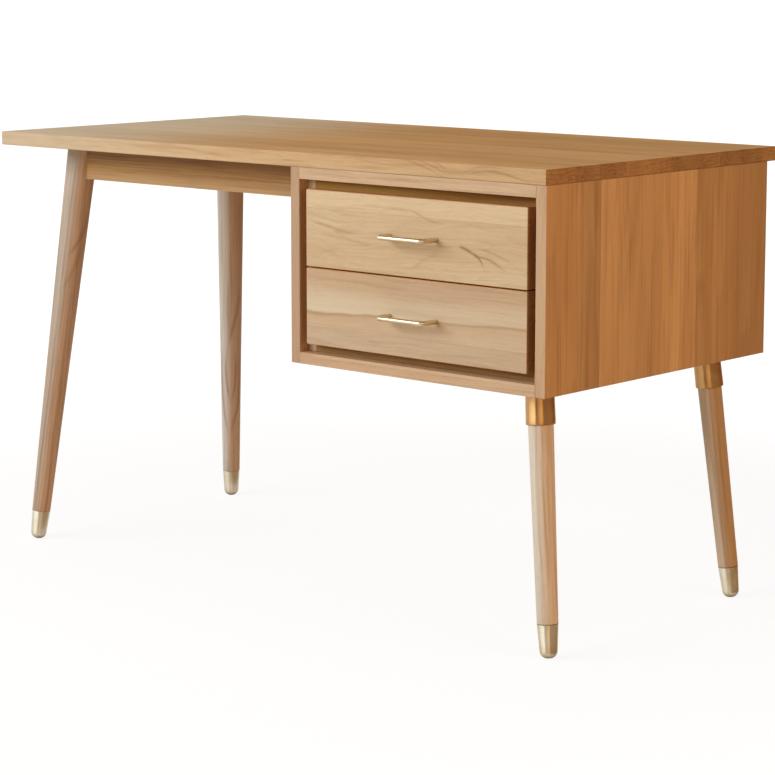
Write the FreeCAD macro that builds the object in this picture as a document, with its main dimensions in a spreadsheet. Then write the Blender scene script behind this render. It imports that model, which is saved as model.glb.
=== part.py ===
import FreeCAD, Part
import os
import re

import Sketcher

os.makedirs("parts", exist_ok=True)
doc = FreeCAD.newDocument("desk")

# Driving sizes in millimetres. The origin is under the middle of the whole desk, with +X to the cabinet side,
# -Y to the drawer fronts and +Z up.
SIZES = {
    # top
    "top_length": "1246",
    "top_depth": "622",
    "top_height": "760",
    "top_thick": "24",
    "ease": "2",
    # cabinet
    "cab_width": "524",
    "back_over": "26",
    "cab_drop": "321",
    "board": "19",
    "tongue": "6",
    "tongue_thick": "8",
    "tongue_stop": "12",
    "back_ply": "6",
    "back_inset": "12",
    # inner frame behind the drawer fronts
    "frame_back": "21",
    "stile_thick": "17",
    "stile_deep": "40",
    "frame_rail": "18",
    # drawers
    "reveal": "15",
    "front_gap": "2",
    "front_thick": "20",
    "front_corner": "3",
    "box_wall": "12",
    "box_clear": "14.5",
    "box_long": "500",
    "box_rise": "13",
    "bottom_ply": "5",
    "bottom_up": "8",
    "groove": "6",
    # pulls
    "pull_spread": "96",
    "pull_reach": "36.5",
    "pull_rod": "8",
    "pull_bend": "11",
    "pull_screw": "4",
    # drawer slides
    "slide_tall": "36",
    "slide_thick": "12.5",
    "slide_gauge": "1.2",
    "slide_play": "0.4",
    "slide_start": "4",
    # legs: place of the top end from the corner above it, and how far the foot runs outwards
    "left_in_x": "83.5",
    "left_in_y": "123",
    "left_run_x": "71.5",
    "left_run_y": "66",
    "right_in_x": "66",
    "right_in_y": "72.5",
    "right_run_x": "42.4",
    "right_run_y": "25.4",
    "leg_top_r": "27.5",
    "neck_r": "20",
    # brass feet and collars
    "cap_r": "16.7",
    "cap_tip_r": "13.4",
    "cap_tall": "53",
    "cap_round": "12",
    "cap_wall": "2.7",
    "cap_sole": "14",
    "collar_tall": "56",
    "collar_r": "23.3",
    "collar_top_r": "22.4",
    # rails under the top
    "rail_tall": "64",
    "rail_thick": "20",
    "tenon_thick": "8",
    "tenon_tall": "44",
    "tenon_deep": "10",
    "cleat": "20",
    # fasteners
    "screw_r": "2",
    "screw_head_r": "4",
    "screw_head": "2.4",
    "screw_bite": "14",
    "bolt_r": "4",
    "bolt_long": "56",
    "insert_r": "7",
    "insert_long": "15",
    # where the frame's planes lie
    "z_under": "=top_height - top_thick",
    "cab_depth": "=top_depth - back_over",
    "cab_low": "=z_under - cab_drop",
    "y_front": "=-(top_depth - pull_reach) / 2",
    # lean of the legs, and how far the rounded feet are raised so they stand on the floor
    "left_tilt": "=atan(sqrt(left_run_x ^ 2 + left_run_y ^ 2) / z_under)",
    "right_tilt": "=atan(sqrt(right_run_x ^ 2 + right_run_y ^ 2) / cab_low)",
    "cap_taper": "=atan((cap_r - cap_tip_r) / cap_tall)",
    "cap_flat": "=cap_tip_r - cap_round / tan(45 deg + cap_taper / 2)",
    "left_lift": "=cap_round * (1 - cos(left_tilt)) + cap_flat * sin(left_tilt)",
    "right_lift": "=cap_round * (1 - cos(right_tilt)) + cap_flat * sin(right_tilt)",
    "left_slant": "=(z_under - left_lift) / cos(left_tilt)",
    "right_slant": "=(cab_low - right_lift) / cos(right_tilt)",
    # how far the left feet stand outside the top, which moves the middle of the desk
    "left_axis": "=sqrt(left_run_x ^ 2 + left_run_y ^ 2 + z_under ^ 2)",
    "foot_half": "=cap_round + cap_flat * sqrt(1 - (left_run_x / left_axis) ^ 2)",
    "foot_share": "=1 - (left_lift + cap_round * cos(left_tilt)) / z_under",
    "foot_over": "=max(0; foot_half - left_in_x + left_run_x * foot_share)",
    "x_right": "=(top_length + foot_over) / 2",
    "x_left": "=x_right - top_length",
    "cab_x": "=x_right - cab_width",
    "open_x": "=cab_x + board",
    "open_wide": "=cab_width - 2 * board",
    "open_low": "=cab_low + board",
    "open_tall": "=cab_drop - 2 * board",
    "front_wide": "=open_wide - 2 * reveal",
    "front_tall": "=(open_tall - 2 * reveal - front_gap) / 2",
    "box_tall": "=front_tall - box_rise - box_clear",
    "frame_y": "=y_front + frame_back",
    "hole_x": "=open_x + stile_thick",
    "hole_wide": "=open_wide - 2 * stile_thick",
    "box_wide": "=hole_wide - 2 * slide_thick",
    "box_x": "=hole_x + slide_thick",
    "box_y": "=y_front + front_thick",
    "post_y": "=frame_y + slide_start + box_long - stile_deep",
    "rail_low": "=z_under - rail_tall",
    "tenon_low": "=rail_low + (rail_tall - tenon_tall) / 2",
    "back_y": "=y_front + cab_depth - back_inset - back_ply",
    # the left legs' axes where the rails meet them
    "rail_part": "=(rail_tall / 2) / z_under",
    "rail_x": "=x_left + left_in_x - left_run_x * rail_part",
    "rail_front_y": "=y_front + left_in_y - left_run_y * rail_part",
    "rail_rear_y": "=y_front + top_depth - left_in_y + left_run_y * rail_part",
}

sheet = doc.addObject("Spreadsheet::Sheet", "sizes")
sums = doc.addObject("Spreadsheet::Sheet", "sums")
for row, (alias, content) in enumerate(SIZES.items(), start=1):
    sheet.set("A%d" % row, alias)
    sheet.set("B%d" % row, content)
    sheet.setAlias("B%d" % row, alias)
doc.recompute()

NODES = []
CUTS = []


def bound(text):
    """The expression with every size taken from the sheet."""
    return re.sub(r"[a-z][a-z_]*", lambda m: "sizes." + m.group() if m.group() in SIZES else m.group(), text)


def number(text):
    """The expression's value now, read through a cell of a second sheet."""
    sums.set("A1", "=" + bound(text))
    sums.recompute()
    value = sums.get("A1")
    return float(getattr(value, "Value", value))


def bind(obj, **properties):
    for name, text in properties.items():
        obj.setExpression(name, bound(text))


def place(obj, at):
    for axis, text in zip("xyz", at):
        obj.setExpression("Placement.Base." + axis, bound(text))


def keep(obj, label):
    obj.Label = label
    NODES.append(obj)
    return obj


def origin_plane(body, role):
    return next(f for f in body.Origin.OriginFeatures if f.Role == role)


def new_sketch(body, name, role):
    sketch = body.newObject("Sketcher::SketchObject", name)
    sketch.AttachmentSupport = (origin_plane(body, role), [""])
    sketch.MapMode = "FlatFace"
    return sketch


def pin(sketch, geometry, end, where):
    """Fixes a point of the sketch at a pair of expressions."""
    for axis, line, text in zip("XY", (-2, -1), where):
        if text == "0":
            sketch.addConstraint(Sketcher.Constraint("PointOnObject", geometry, end, line))
            continue
        index = sketch.addConstraint(Sketcher.Constraint("Distance" + axis, -1, 1, geometry, end, number(text)))
        sketch.setExpression("Constraints[%d]" % index, bound(text))


def polygon(body, name, role, corners):
    """A closed outline whose corners are pairs of expressions."""
    sketch = new_sketch(body, name, role)
    points = [FreeCAD.Vector(number(a), number(b), 0) for a, b in corners]
    count = len(points)
    for i in range(count):
        sketch.addGeometry(Part.LineSegment(points[i], points[(i + 1) % count]))
    for i in range(count):
        sketch.addConstraint(Sketcher.Constraint("Coincident", i, 2, (i + 1) % count, 1))
    for i, corner in enumerate(corners):
        pin(sketch, i, 1, corner)
    return sketch


def padded(name, role, corners, length, reverse=False):
    body = doc.addObject("PartDesign::Body", name)
    sketch = polygon(body, name + "_outline", role, corners)
    pad = body.newObject("PartDesign::Pad", name + "_pad")
    pad.Profile = sketch
    pad.Reversed = reverse
    bind(pad, Length=length)
    sketch.Visibility = False
    return body


def board(label, at, size):
    """A rectangular board with its low corner at a place."""
    x, y, z = size
    body = padded(label, "XY_Plane", [("0", "0"), (x, "0"), (x, y), ("0", y)], z)
    place(body, at)
    return keep(body, label)


def cut_box(body, name, at, size):
    """Cuts a groove or mortise out of a body, in the body's own axes."""
    box = body.newObject("PartDesign::SubtractiveBox", name)
    bind(box, Length=size[0], Width=size[1], Height=size[2])
    place(box, at)
    CUTS.append(box)


def cut_hole(body, name, at, radius, length, along="Z"):
    """Cuts a round hole out of a body, along one of the body's own axes."""
    hole = body.newObject("PartDesign::SubtractiveCylinder", name)
    bind(hole, Radius=radius, Height=length)
    if along == "Y":
        hole.Placement = FreeCAD.Placement(FreeCAD.Vector(), FreeCAD.Rotation(FreeCAD.Vector(1, 0, 0), -90))
    place(hole, at)
    CUTS.append(hole)


def ease_edges(body, name, radius, chosen):
    """Rounds the edges of a body that a test picks out."""
    doc.recompute()
    base = body.Tip
    edges = ["Edge%d" % i for i, edge in enumerate(base.Shape.Edges, start=1) if chosen(edge)]
    fillet = body.newObject("PartDesign::Fillet", name)
    fillet.Base = (base, edges)
    bind(fillet, Radius=radius)


def runs_along(edge, axis):
    """Whether a straight edge runs along one axis, counted 0 to 2."""
    low, high = edge.BoundBox, edge.Length
    return abs((low.XLength, low.YLength, low.ZLength)[axis] - high) < 0.01


def lies_at(edge, axis, value):
    box = edge.BoundBox
    low, high = ((box.XMin, box.XMax), (box.YMin, box.YMax), (box.ZMin, box.ZMax))[axis]
    return abs(low - value) < 0.01 and abs(high - value) < 0.01


def turned(name, corners):
    """A body turned about its own Z axis from a half outline of radius and height."""
    body = doc.addObject("PartDesign::Body", name)
    sketch = polygon(body, name + "_outline", "XZ_Plane", corners)
    turning = body.newObject("PartDesign::Revolution", name + "_turning")
    turning.Profile = sketch
    turning.ReferenceAxis = (sketch, ["V_Axis"])
    turning.Angle = 360
    sketch.Visibility = False
    return body


def boolean(kind, name, first, second):
    result = doc.addObject(kind, name)
    result.Base = first
    result.Tool = second
    return result


def part_box(name, at, size):
    box = doc.addObject("Part::Box", name)
    bind(box, Length=size[0], Width=size[1], Height=size[2])
    place(box, at)
    return box


def group(label, solids):
    node = doc.addObject("Part::Compound", label)
    node.Links = solids
    return keep(node, label)


def screw(name, at, radius, length, head_r, head, turn):
    """A pan-head screw: before it is turned, the shank leaves the place along +Z with the head behind it."""
    shank = doc.addObject("Part::Cylinder", name + "_shank")
    bind(shank, Radius=radius, Height=length)
    cap = doc.addObject("Part::Cylinder", name + "_head")
    bind(cap, Radius=head_r, Height=head)
    cap.setExpression("Placement.Base.z", bound("-(%s)" % head))
    whole = boolean("Part::Fuse", name, shank, cap)
    whole.Placement = FreeCAD.Placement(FreeCAD.Vector(), turn)
    place(whole, at)
    return whole


UPRIGHT = FreeCAD.Rotation()
TO_FRONT = FreeCAD.Rotation(FreeCAD.Vector(1, 0, 0), 90)

# The desktop, with eased arrises all round.
desktop = board("desktop", ("x_left", "y_front", "z_under"), ("top_length", "top_depth", "top_thick"))
ease_edges(desktop, "desktop_ease", "ease", lambda edge: True)

# The cabinet: sides the full height, top and bottom boards tongued between them, a plywood back in grooves.
left_side = board("cabinet_left_side", ("cab_x", "y_front", "cab_low"), ("board", "cab_depth", "cab_drop"))
right_side = board(
    "cabinet_right_side", ("x_right - board", "y_front", "cab_low"), ("board", "cab_depth", "cab_drop")
)
GROOVE_Z = {"low": "(board - tongue_thick) / 2", "high": "cab_drop - (board + tongue_thick) / 2"}
for side, inner_face in ((left_side, "board - tongue"), (right_side, "0")):
    for end, height in GROOVE_Z.items():
        cut_box(
            side,
            side.Label + "_groove_" + end,
            (inner_face, "tongue_stop", height),
            ("tongue", "cab_depth - tongue_stop", "tongue_thick"),
        )
    cut_box(
        side,
        side.Label + "_back_groove",
        (inner_face, "cab_depth - back_inset - back_ply", "board - tongue"),
        ("tongue", "back_ply", "cab_drop - 2 * (board - tongue)"),
    )

TONGUED = [
    ("0", "0"),
    ("open_wide", "0"),
    ("open_wide", "(board - tongue_thick) / 2"),
    ("open_wide + tongue", "(board - tongue_thick) / 2"),
    ("open_wide + tongue", "(board + tongue_thick) / 2"),
    ("open_wide", "(board + tongue_thick) / 2"),
    ("open_wide", "board"),
    ("0", "board"),
    ("0", "(board + tongue_thick) / 2"),
    ("-tongue", "(board + tongue_thick) / 2"),
    ("-tongue", "(board - tongue_thick) / 2"),
    ("0", "(board - tongue_thick) / 2"),
]


def stop_tongues(body):
    """Cuts the tongues back from the front edge, so that a plain butt joint shows there."""
    for hand, x in (("left", "-tongue"), ("right", "open_wide")):
        cut_box(body, "%s_stop_%s" % (body.Label, hand), (x, "0", "0"), ("tongue", "tongue_stop", "board"))


cabinet_top = keep(padded("cabinet_top", "XZ_Plane", TONGUED, "cab_depth", reverse=True), "cabinet_top")
stop_tongues(cabinet_top)
place(cabinet_top, ("open_x", "y_front", "z_under - board"))
cut_box(
    cabinet_top,
    "cabinet_top_back_groove",
    ("-tongue", "cab_depth - back_inset - back_ply", "0"),
    ("open_wide + 2 * tongue", "back_ply", "tongue"),
)
bottom_board = padded("cabinet_bottom_board", "XZ_Plane", TONGUED, "cab_depth", reverse=True)
stop_tongues(bottom_board)
place(bottom_board, ("open_x", "y_front", "cab_low"))
cut_box(
    bottom_board,
    "cabinet_bottom_back_groove",
    ("-tongue", "cab_depth - back_inset - back_ply", "board - tongue"),
    ("open_wide + 2 * tongue", "back_ply", "tongue"),
)
board(
    "cabinet_back",
    ("open_x - tongue", "back_y", "open_low - tongue"),
    ("open_wide + 2 * tongue", "back_ply", "open_tall + 2 * tongue"),
)

# The inner frame set back behind the drawer fronts, and the rear posts that carry the far ends of the slides.
for hand, x in (("left", "open_x"), ("right", "open_x + open_wide - stile_thick")):
    board("frame_stile_" + hand, (x, "frame_y", "open_low"), ("stile_thick", "stile_deep", "open_tall"))
    board("rear_post_" + hand, (x, "post_y", "open_low"), ("stile_thick", "stile_deep", "open_tall"))
for level, z in (("top", "open_low + open_tall - frame_rail"), ("bottom", "open_low")):
    board("frame_rail_" + level, ("hole_x", "frame_y", z), ("hole_wide", "stile_deep", "frame_rail"))


def leg_placement(side, end):
    """Where a leg's own axes stand: foot on the floor, +Z up the axis. side -1 is left, end -1 is front."""
    name = "right" if side > 0 else "left"
    corner_x = "x_right - right_in_x" if side > 0 else "x_left + left_in_x"
    depth = "cab_depth" if side > 0 else "top_depth"
    corner_y = "y_front + %s_in_y" % name if end < 0 else "y_front + %s - %s_in_y" % (depth, name)
    high = "cab_low" if side > 0 else "z_under"
    run_x = "(%d) * %s_run_x" % (side, name)
    run_y = "(%d) * %s_run_y" % (end, name)
    share = "(1 - %s_lift / %s)" % (name, high)
    x = "%s + %s * %s" % (corner_x, run_x, share)
    y = "%s + %s * %s" % (corner_y, run_y, share)
    base = "vector(%s; %s; %s_lift)" % (x, y, name)
    return bound("placement(%s; rotation(vector(%s; -(%s); 0); %s_tilt))" % (base, run_y, run_x, name))


LEGS = {"front_left": (-1, -1), "rear_left": (-1, 1), "front_right": (1, -1), "rear_right": (1, 1)}
SPIGOT_R = "cap_tip_r - cap_wall"
SPIGOT = [("0", "cap_sole"), (SPIGOT_R, "cap_sole"), (SPIGOT_R, "cap_tall"), ("cap_r", "cap_tall")]
CAP_PROFILE = [("0", "0"), ("cap_tip_r", "0")] + SPIGOT[::-1]
OVERRUN = "neck_r"
LEFT_END = "left_slant + " + OVERRUN
RIGHT_END = "right_slant + " + OVERRUN


def above(name, leg_name, at_height):
    """A block over a leg's top end that trims it level."""
    side, end = LEGS[leg_name]
    x = "x_right - right_in_x" if side > 0 else "x_left + left_in_x"
    y_in = "right_in_y" if side > 0 else "left_in_y"
    depth = "cab_depth" if side > 0 else "top_depth"
    y = "y_front + " + y_in if end < 0 else "y_front + %s - %s" % (depth, y_in)
    half = "3 * leg_top_r"
    return part_box(name, ("%s - %s" % (x, half), "%s - %s" % (y, half), at_height), ("2 * " + half,) * 3)


# Tapering brass caps with rounded tips.
for leg_name, (side, end) in LEGS.items():
    cap = keep(turned("foot_cap_" + leg_name, CAP_PROFILE), "foot_cap_" + leg_name)
    ease_edges(cap, cap.Label + "_round", "cap_round", lambda edge: lies_at(edge, 2, 0))
    cap.setExpression("Placement", leg_placement(side, end))

# The two long legs on the left, trimmed level under the top and mortised for the rails.
long_turnings = {}
for leg_name in ("front_left", "rear_left"):
    side, end = LEGS[leg_name]
    turning = turned(
        "leg_%s_turned" % leg_name,
        SPIGOT + [("leg_top_r", "left_slant"), ("leg_top_r", LEFT_END), ("0", LEFT_END)],
    )
    turning.setExpression("Placement", leg_placement(side, end))
    long_turnings[leg_name] = turning

tenons = {}
for leg_name, rail_y, inward in (("front_left", "rail_front_y", 1), ("rear_left", "rail_rear_y", -1)):
    along_x = part_box(
        "tenon_x_" + leg_name,
        ("rail_x + tenon_thick", rail_y + " - tenon_thick / 2", "tenon_low"),
        ("leg_top_r + tenon_deep", "tenon_thick", "tenon_tall"),
    )
    far = "tenon_thick" if inward > 0 else "-tenon_thick - leg_top_r - tenon_deep"
    along_y = part_box(
        "tenon_y_" + leg_name,
        ("rail_x - tenon_thick / 2", "%s + %s" % (rail_y, far), "tenon_low"),
        ("tenon_thick", "leg_top_r + tenon_deep", "tenon_tall"),
    )
    tenons[leg_name] = (along_x, along_y)
    trim = above("trim_" + leg_name, leg_name, "z_under")
    level = boolean("Part::Cut", "leg_%s_level" % leg_name, long_turnings[leg_name], trim)
    mortised = boolean("Part::Cut", "leg_%s_mortised" % leg_name, level, along_x)
    keep(boolean("Part::Cut", "leg_" + leg_name, mortised, along_y), "leg_" + leg_name)

# The two short legs under the cabinet: a neck in a brass collar, and a hanger bolt up into a threaded insert.
COLLAR_LOW = "right_slant - collar_tall"
collar_profile = [
    ("neck_r", COLLAR_LOW),
    ("collar_r - slide_gauge", COLLAR_LOW),
    ("collar_r", COLLAR_LOW + " + slide_gauge"),
    ("collar_top_r", RIGHT_END),
    ("neck_r", RIGHT_END),
]
bolts = []
inserts = []
cabinet_bottom = bottom_board
for leg_name in ("front_right", "rear_right"):
    side, end = LEGS[leg_name]
    where = leg_placement(side, end)
    turning = turned(
        "leg_%s_turned" % leg_name,
        SPIGOT + [("neck_r", COLLAR_LOW), ("neck_r", RIGHT_END), ("0", RIGHT_END)],
    )
    ring = turned("collar_%s_turned" % leg_name, collar_profile)
    bolt = turned(
        "hanger_bolt_" + leg_name,
        [
            ("0", "right_slant - bolt_long + insert_long"),
            ("bolt_r", "right_slant - bolt_long + insert_long"),
            ("bolt_r", "right_slant + insert_long"),
            ("0", "right_slant + insert_long"),
        ],
    )
    insert = turned(
        "insert_" + leg_name,
        [
            ("bolt_r", "right_slant"),
            ("insert_r", "right_slant"),
            ("insert_r", "right_slant + insert_long"),
            ("bolt_r", "right_slant + insert_long"),
        ],
    )
    bore = turned(
        "insert_bore_" + leg_name,
        [
            ("0", "right_slant - insert_r"),
            ("insert_r", "right_slant - insert_r"),
            ("insert_r", "right_slant + insert_long"),
            ("0", "right_slant + insert_long"),
        ],
    )
    for piece in (turning, ring, bolt, insert, bore):
        piece.setExpression("Placement", where)
    trim = above("trim_" + leg_name, leg_name, "cab_low")
    level = boolean("Part::Cut", "leg_%s_level" % leg_name, turning, trim)
    keep(boolean("Part::Cut", "leg_" + leg_name, level, bolt), "leg_" + leg_name)
    trim_ring = above("trim_collar_" + leg_name, leg_name, "cab_low")
    keep(boolean("Part::Cut", "collar_" + leg_name, ring, trim_ring), "collar_" + leg_name)
    cabinet_bottom = boolean("Part::Cut", "cabinet_bottom_bored_" + leg_name, cabinet_bottom, bore)
    inserts.append(boolean("Part::Common", "insert_flush_" + leg_name, insert, bottom_board))
    bolts.append(bolt)
keep(cabinet_bottom, "cabinet_bottom")
group("hanger_bolts", bolts)
group("threaded_inserts", inserts)

# The rails under the top, coped to the round legs and tenoned into them and into the cabinet.
rear_y = "rail_rear_y - rail_thick / 2"
front_y = "rail_front_y - rail_thick / 2"
for label, leg_name, y, middle in (
    ("front_rail", "front_left", front_y, "rail_front_y"),
    ("rear_rail", "rear_left", rear_y, "rail_rear_y"),
):
    bar = part_box(label + "_bar", ("rail_x", y, "rail_low"), ("cab_x - rail_x", "rail_thick", "rail_tall"))
    coped = boolean("Part::Cut", label + "_coped", bar, long_turnings[leg_name])
    stub = part_box(
        label + "_stub",
        ("cab_x - tenon_deep", middle + " - tenon_thick / 2", "tenon_low"),
        ("2 * tenon_deep", "tenon_thick", "tenon_tall"),
    )
    rail = doc.addObject("Part::MultiFuse", label)
    rail.Shapes = [coped, tenons[leg_name][0], stub]
    rail.Refine = True
    keep(rail, label)
    cut_box(
        left_side,
        "cabinet_mortise_" + label,
        ("0", middle + " - tenon_thick / 2 - y_front", "tenon_low - cab_low"),
        ("tenon_deep", "tenon_thick", "tenon_tall"),
    )
side_bar = part_box(
    "left_rail_bar",
    ("rail_x - rail_thick / 2", "rail_front_y", "rail_low"),
    ("rail_thick", "rail_rear_y - rail_front_y", "rail_tall"),
)
coped_front = boolean("Part::Cut", "left_rail_coped_front", side_bar, long_turnings["front_left"])
coped_both = boolean("Part::Cut", "left_rail_coped_rear", coped_front, long_turnings["rear_left"])
left_rail = doc.addObject("Part::MultiFuse", "left_rail")
left_rail.Shapes = [coped_both, tenons["front_left"][1], tenons["rear_left"][1]]
left_rail.Refine = True
keep(left_rail, "left_rail")

# Cleats glued along the rails, screwed up into the top, and the screws through the cabinet's top board.
CLEAT_X = "rail_x + 2 * leg_top_r"
CLEAT_LONG = "cab_x - rail_x - 4 * leg_top_r"
cleat_screws = []
for label, y in (
    ("front_cleat", "rail_front_y + rail_thick / 2"),
    ("rear_cleat", "rail_rear_y - rail_thick / 2 - cleat"),
):
    strip = board(label, (CLEAT_X, y, "z_under - cleat"), (CLEAT_LONG, "cleat", "cleat"))
    for i in range(3):
        along = "(%s) * (%d / 6)" % (CLEAT_LONG, 2 * i + 1)
        at = "%s + %s" % (CLEAT_X, along)
        hole = "%s_hole_%d" % (label, i)
        cut_hole(strip, hole, (along, "cleat / 2", "0"), "screw_r", "cleat")
        middle = y + " + cleat / 2"
        cut_hole(
            desktop, "top_pilot_" + hole, (at + " - x_left", middle + " - y_front", "0"), "screw_r", "screw_bite"
        )
        cleat_screws.append(
            screw(
                "cleat_screw_%s_%d" % (label, i),
                (at, middle, "z_under - cleat"),
                "screw_r",
                "cleat + screw_bite",
                "screw_head_r",
                "screw_head",
                UPRIGHT,
            )
        )
group("cleat_screws", cleat_screws)

top_screws = []
for i, (u, v) in enumerate(((1, 1), (3, 1), (1, 3), (3, 3))):
    x = "open_wide * %d / 4" % u
    y = "cab_depth * %d / 4" % v
    cut_hole(cabinet_top, "cabinet_top_hole_%d" % i, (x, y, "0"), "screw_r", "board")
    cut_hole(desktop, "top_pilot_cabinet_%d" % i, ("open_x - x_left + " + x, y, "0"), "screw_r", "screw_bite")
    top_screws.append(
        screw(
            "top_screw_%d" % i,
            ("open_x + " + x, "y_front + " + y, "z_under - board"),
            "screw_r",
            "board + screw_bite",
            "screw_head_r",
            "screw_head",
            UPRIGHT,
        )
    )
group("top_screws", top_screws)

SLIDE_REACH = "slide_thick - slide_gauge - slide_play"
SLIDE_STEP = "(slide_gauge + slide_play)"
# The members of a slide: where the web starts, how far the flanges reach, the height, and which way it opens.
SLIDE_MEMBERS = {
    "outer": ("0", SLIDE_REACH, "slide_tall", 1),
    "middle": (SLIDE_STEP, SLIDE_REACH, "slide_tall - 2 * " + SLIDE_STEP, 1),
    "inner": ("slide_thick", "2 * " + SLIDE_STEP, "slide_tall - 4 * " + SLIDE_STEP, -1),
}


def channel(label, at, web, flange, tall, opens, sign):
    """A folded steel channel along Y. web and flange are signed distances in X from the cabinet frame."""
    web_in = "%s + (%d) * slide_gauge" % (web, opens)

    def across(text):
        return text if text == "0" else "(%d) * (%s)" % (sign, text)

    low, high = "-(%s) / 2" % tall, "(%s) / 2" % tall
    corners = [
        (across(web), low),
        (across(flange), low),
        (across(flange), low + " + slide_gauge"),
        (across(web_in), low + " + slide_gauge"),
        (across(web_in), high + " - slide_gauge"),
        (across(flange), high + " - slide_gauge"),
        (across(flange), high),
        (across(web), high),
    ]
    body = keep(padded(label, "XZ_Plane", corners, "box_long", reverse=True), label)
    place(body, at)
    return body


PULL_PATH_Y = "-(pull_reach - pull_rod / 2)"


def pull(label, at):
    """A rod bent to a D: out from the front, round a bend, across and back."""
    body = doc.addObject("PartDesign::Body", label)
    path = new_sketch(body, label + "_path", "XY_Plane")
    half, out, bend = number("pull_spread / 2"), number(PULL_PATH_Y), number("pull_bend")
    point = FreeCAD.Vector
    arc_left = Part.Arc(
        point(-half, out + bend, 0),
        point(-half + bend * (1 - 0.5**0.5), out + bend * (1 - 0.5**0.5), 0),
        point(-half + bend, out, 0),
    )
    arc_right = Part.Arc(
        point(half - bend, out, 0),
        point(half - bend * (1 - 0.5**0.5), out + bend * (1 - 0.5**0.5), 0),
        point(half, out + bend, 0),
    )
    path.addGeometry(Part.LineSegment(point(-half, 0, 0), point(-half, out + bend, 0)))
    path.addGeometry(arc_left)
    path.addGeometry(Part.LineSegment(point(-half + bend, out, 0), point(half - bend, out, 0)))
    path.addGeometry(arc_right)
    path.addGeometry(Part.LineSegment(point(half, out + bend, 0), point(half, 0, 0)))
    for first, first_end, second, second_end in ((0, 2, 1, 1), (1, 2, 2, 1), (2, 2, 3, 1), (3, 2, 4, 1)):
        path.addConstraint(Sketcher.Constraint("Tangent", first, first_end, second, second_end))
    path.addConstraint(Sketcher.Constraint("Vertical", 0))
    path.addConstraint(Sketcher.Constraint("Vertical", 4))
    path.addConstraint(Sketcher.Constraint("Equal", 1, 3))
    radius = path.addConstraint(Sketcher.Constraint("Radius", 1, bend))
    path.setExpression("Constraints[%d]" % radius, bound("pull_bend"))
    pin(path, 0, 1, ("-pull_spread / 2", "0"))
    pin(path, 4, 2, ("pull_spread / 2", "0"))
    reach = path.addConstraint(Sketcher.Constraint("DistanceY", -1, 1, 2, 1, out))
    path.setExpression("Constraints[%d]" % reach, bound(PULL_PATH_Y))
    section = new_sketch(body, label + "_section", "XZ_Plane")
    section.addGeometry(Part.Circle(point(-half, 0, 0), point(0, 0, 1), number("pull_rod / 2")))
    pin(section, 0, 3, ("-pull_spread / 2", "0"))
    size = section.addConstraint(Sketcher.Constraint("Radius", 0, number("pull_rod / 2")))
    section.setExpression("Constraints[%d]" % size, bound("pull_rod / 2"))
    doc.recompute()
    rod = body.newObject("PartDesign::AdditivePipe", label + "_rod")
    rod.Profile = section
    rod.Spine = path
    path.Visibility = False
    section.Visibility = False
    for hand, x in (("left", "-pull_spread / 2"), ("right", "pull_spread / 2")):
        tap = "%s_tap_%s" % (label, hand)
        cut_hole(body, tap, (x, "-pull_bend", "0"), "pull_screw / 2", "pull_bend", along="Y")
    place(body, at)
    return keep(body, label)


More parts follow.
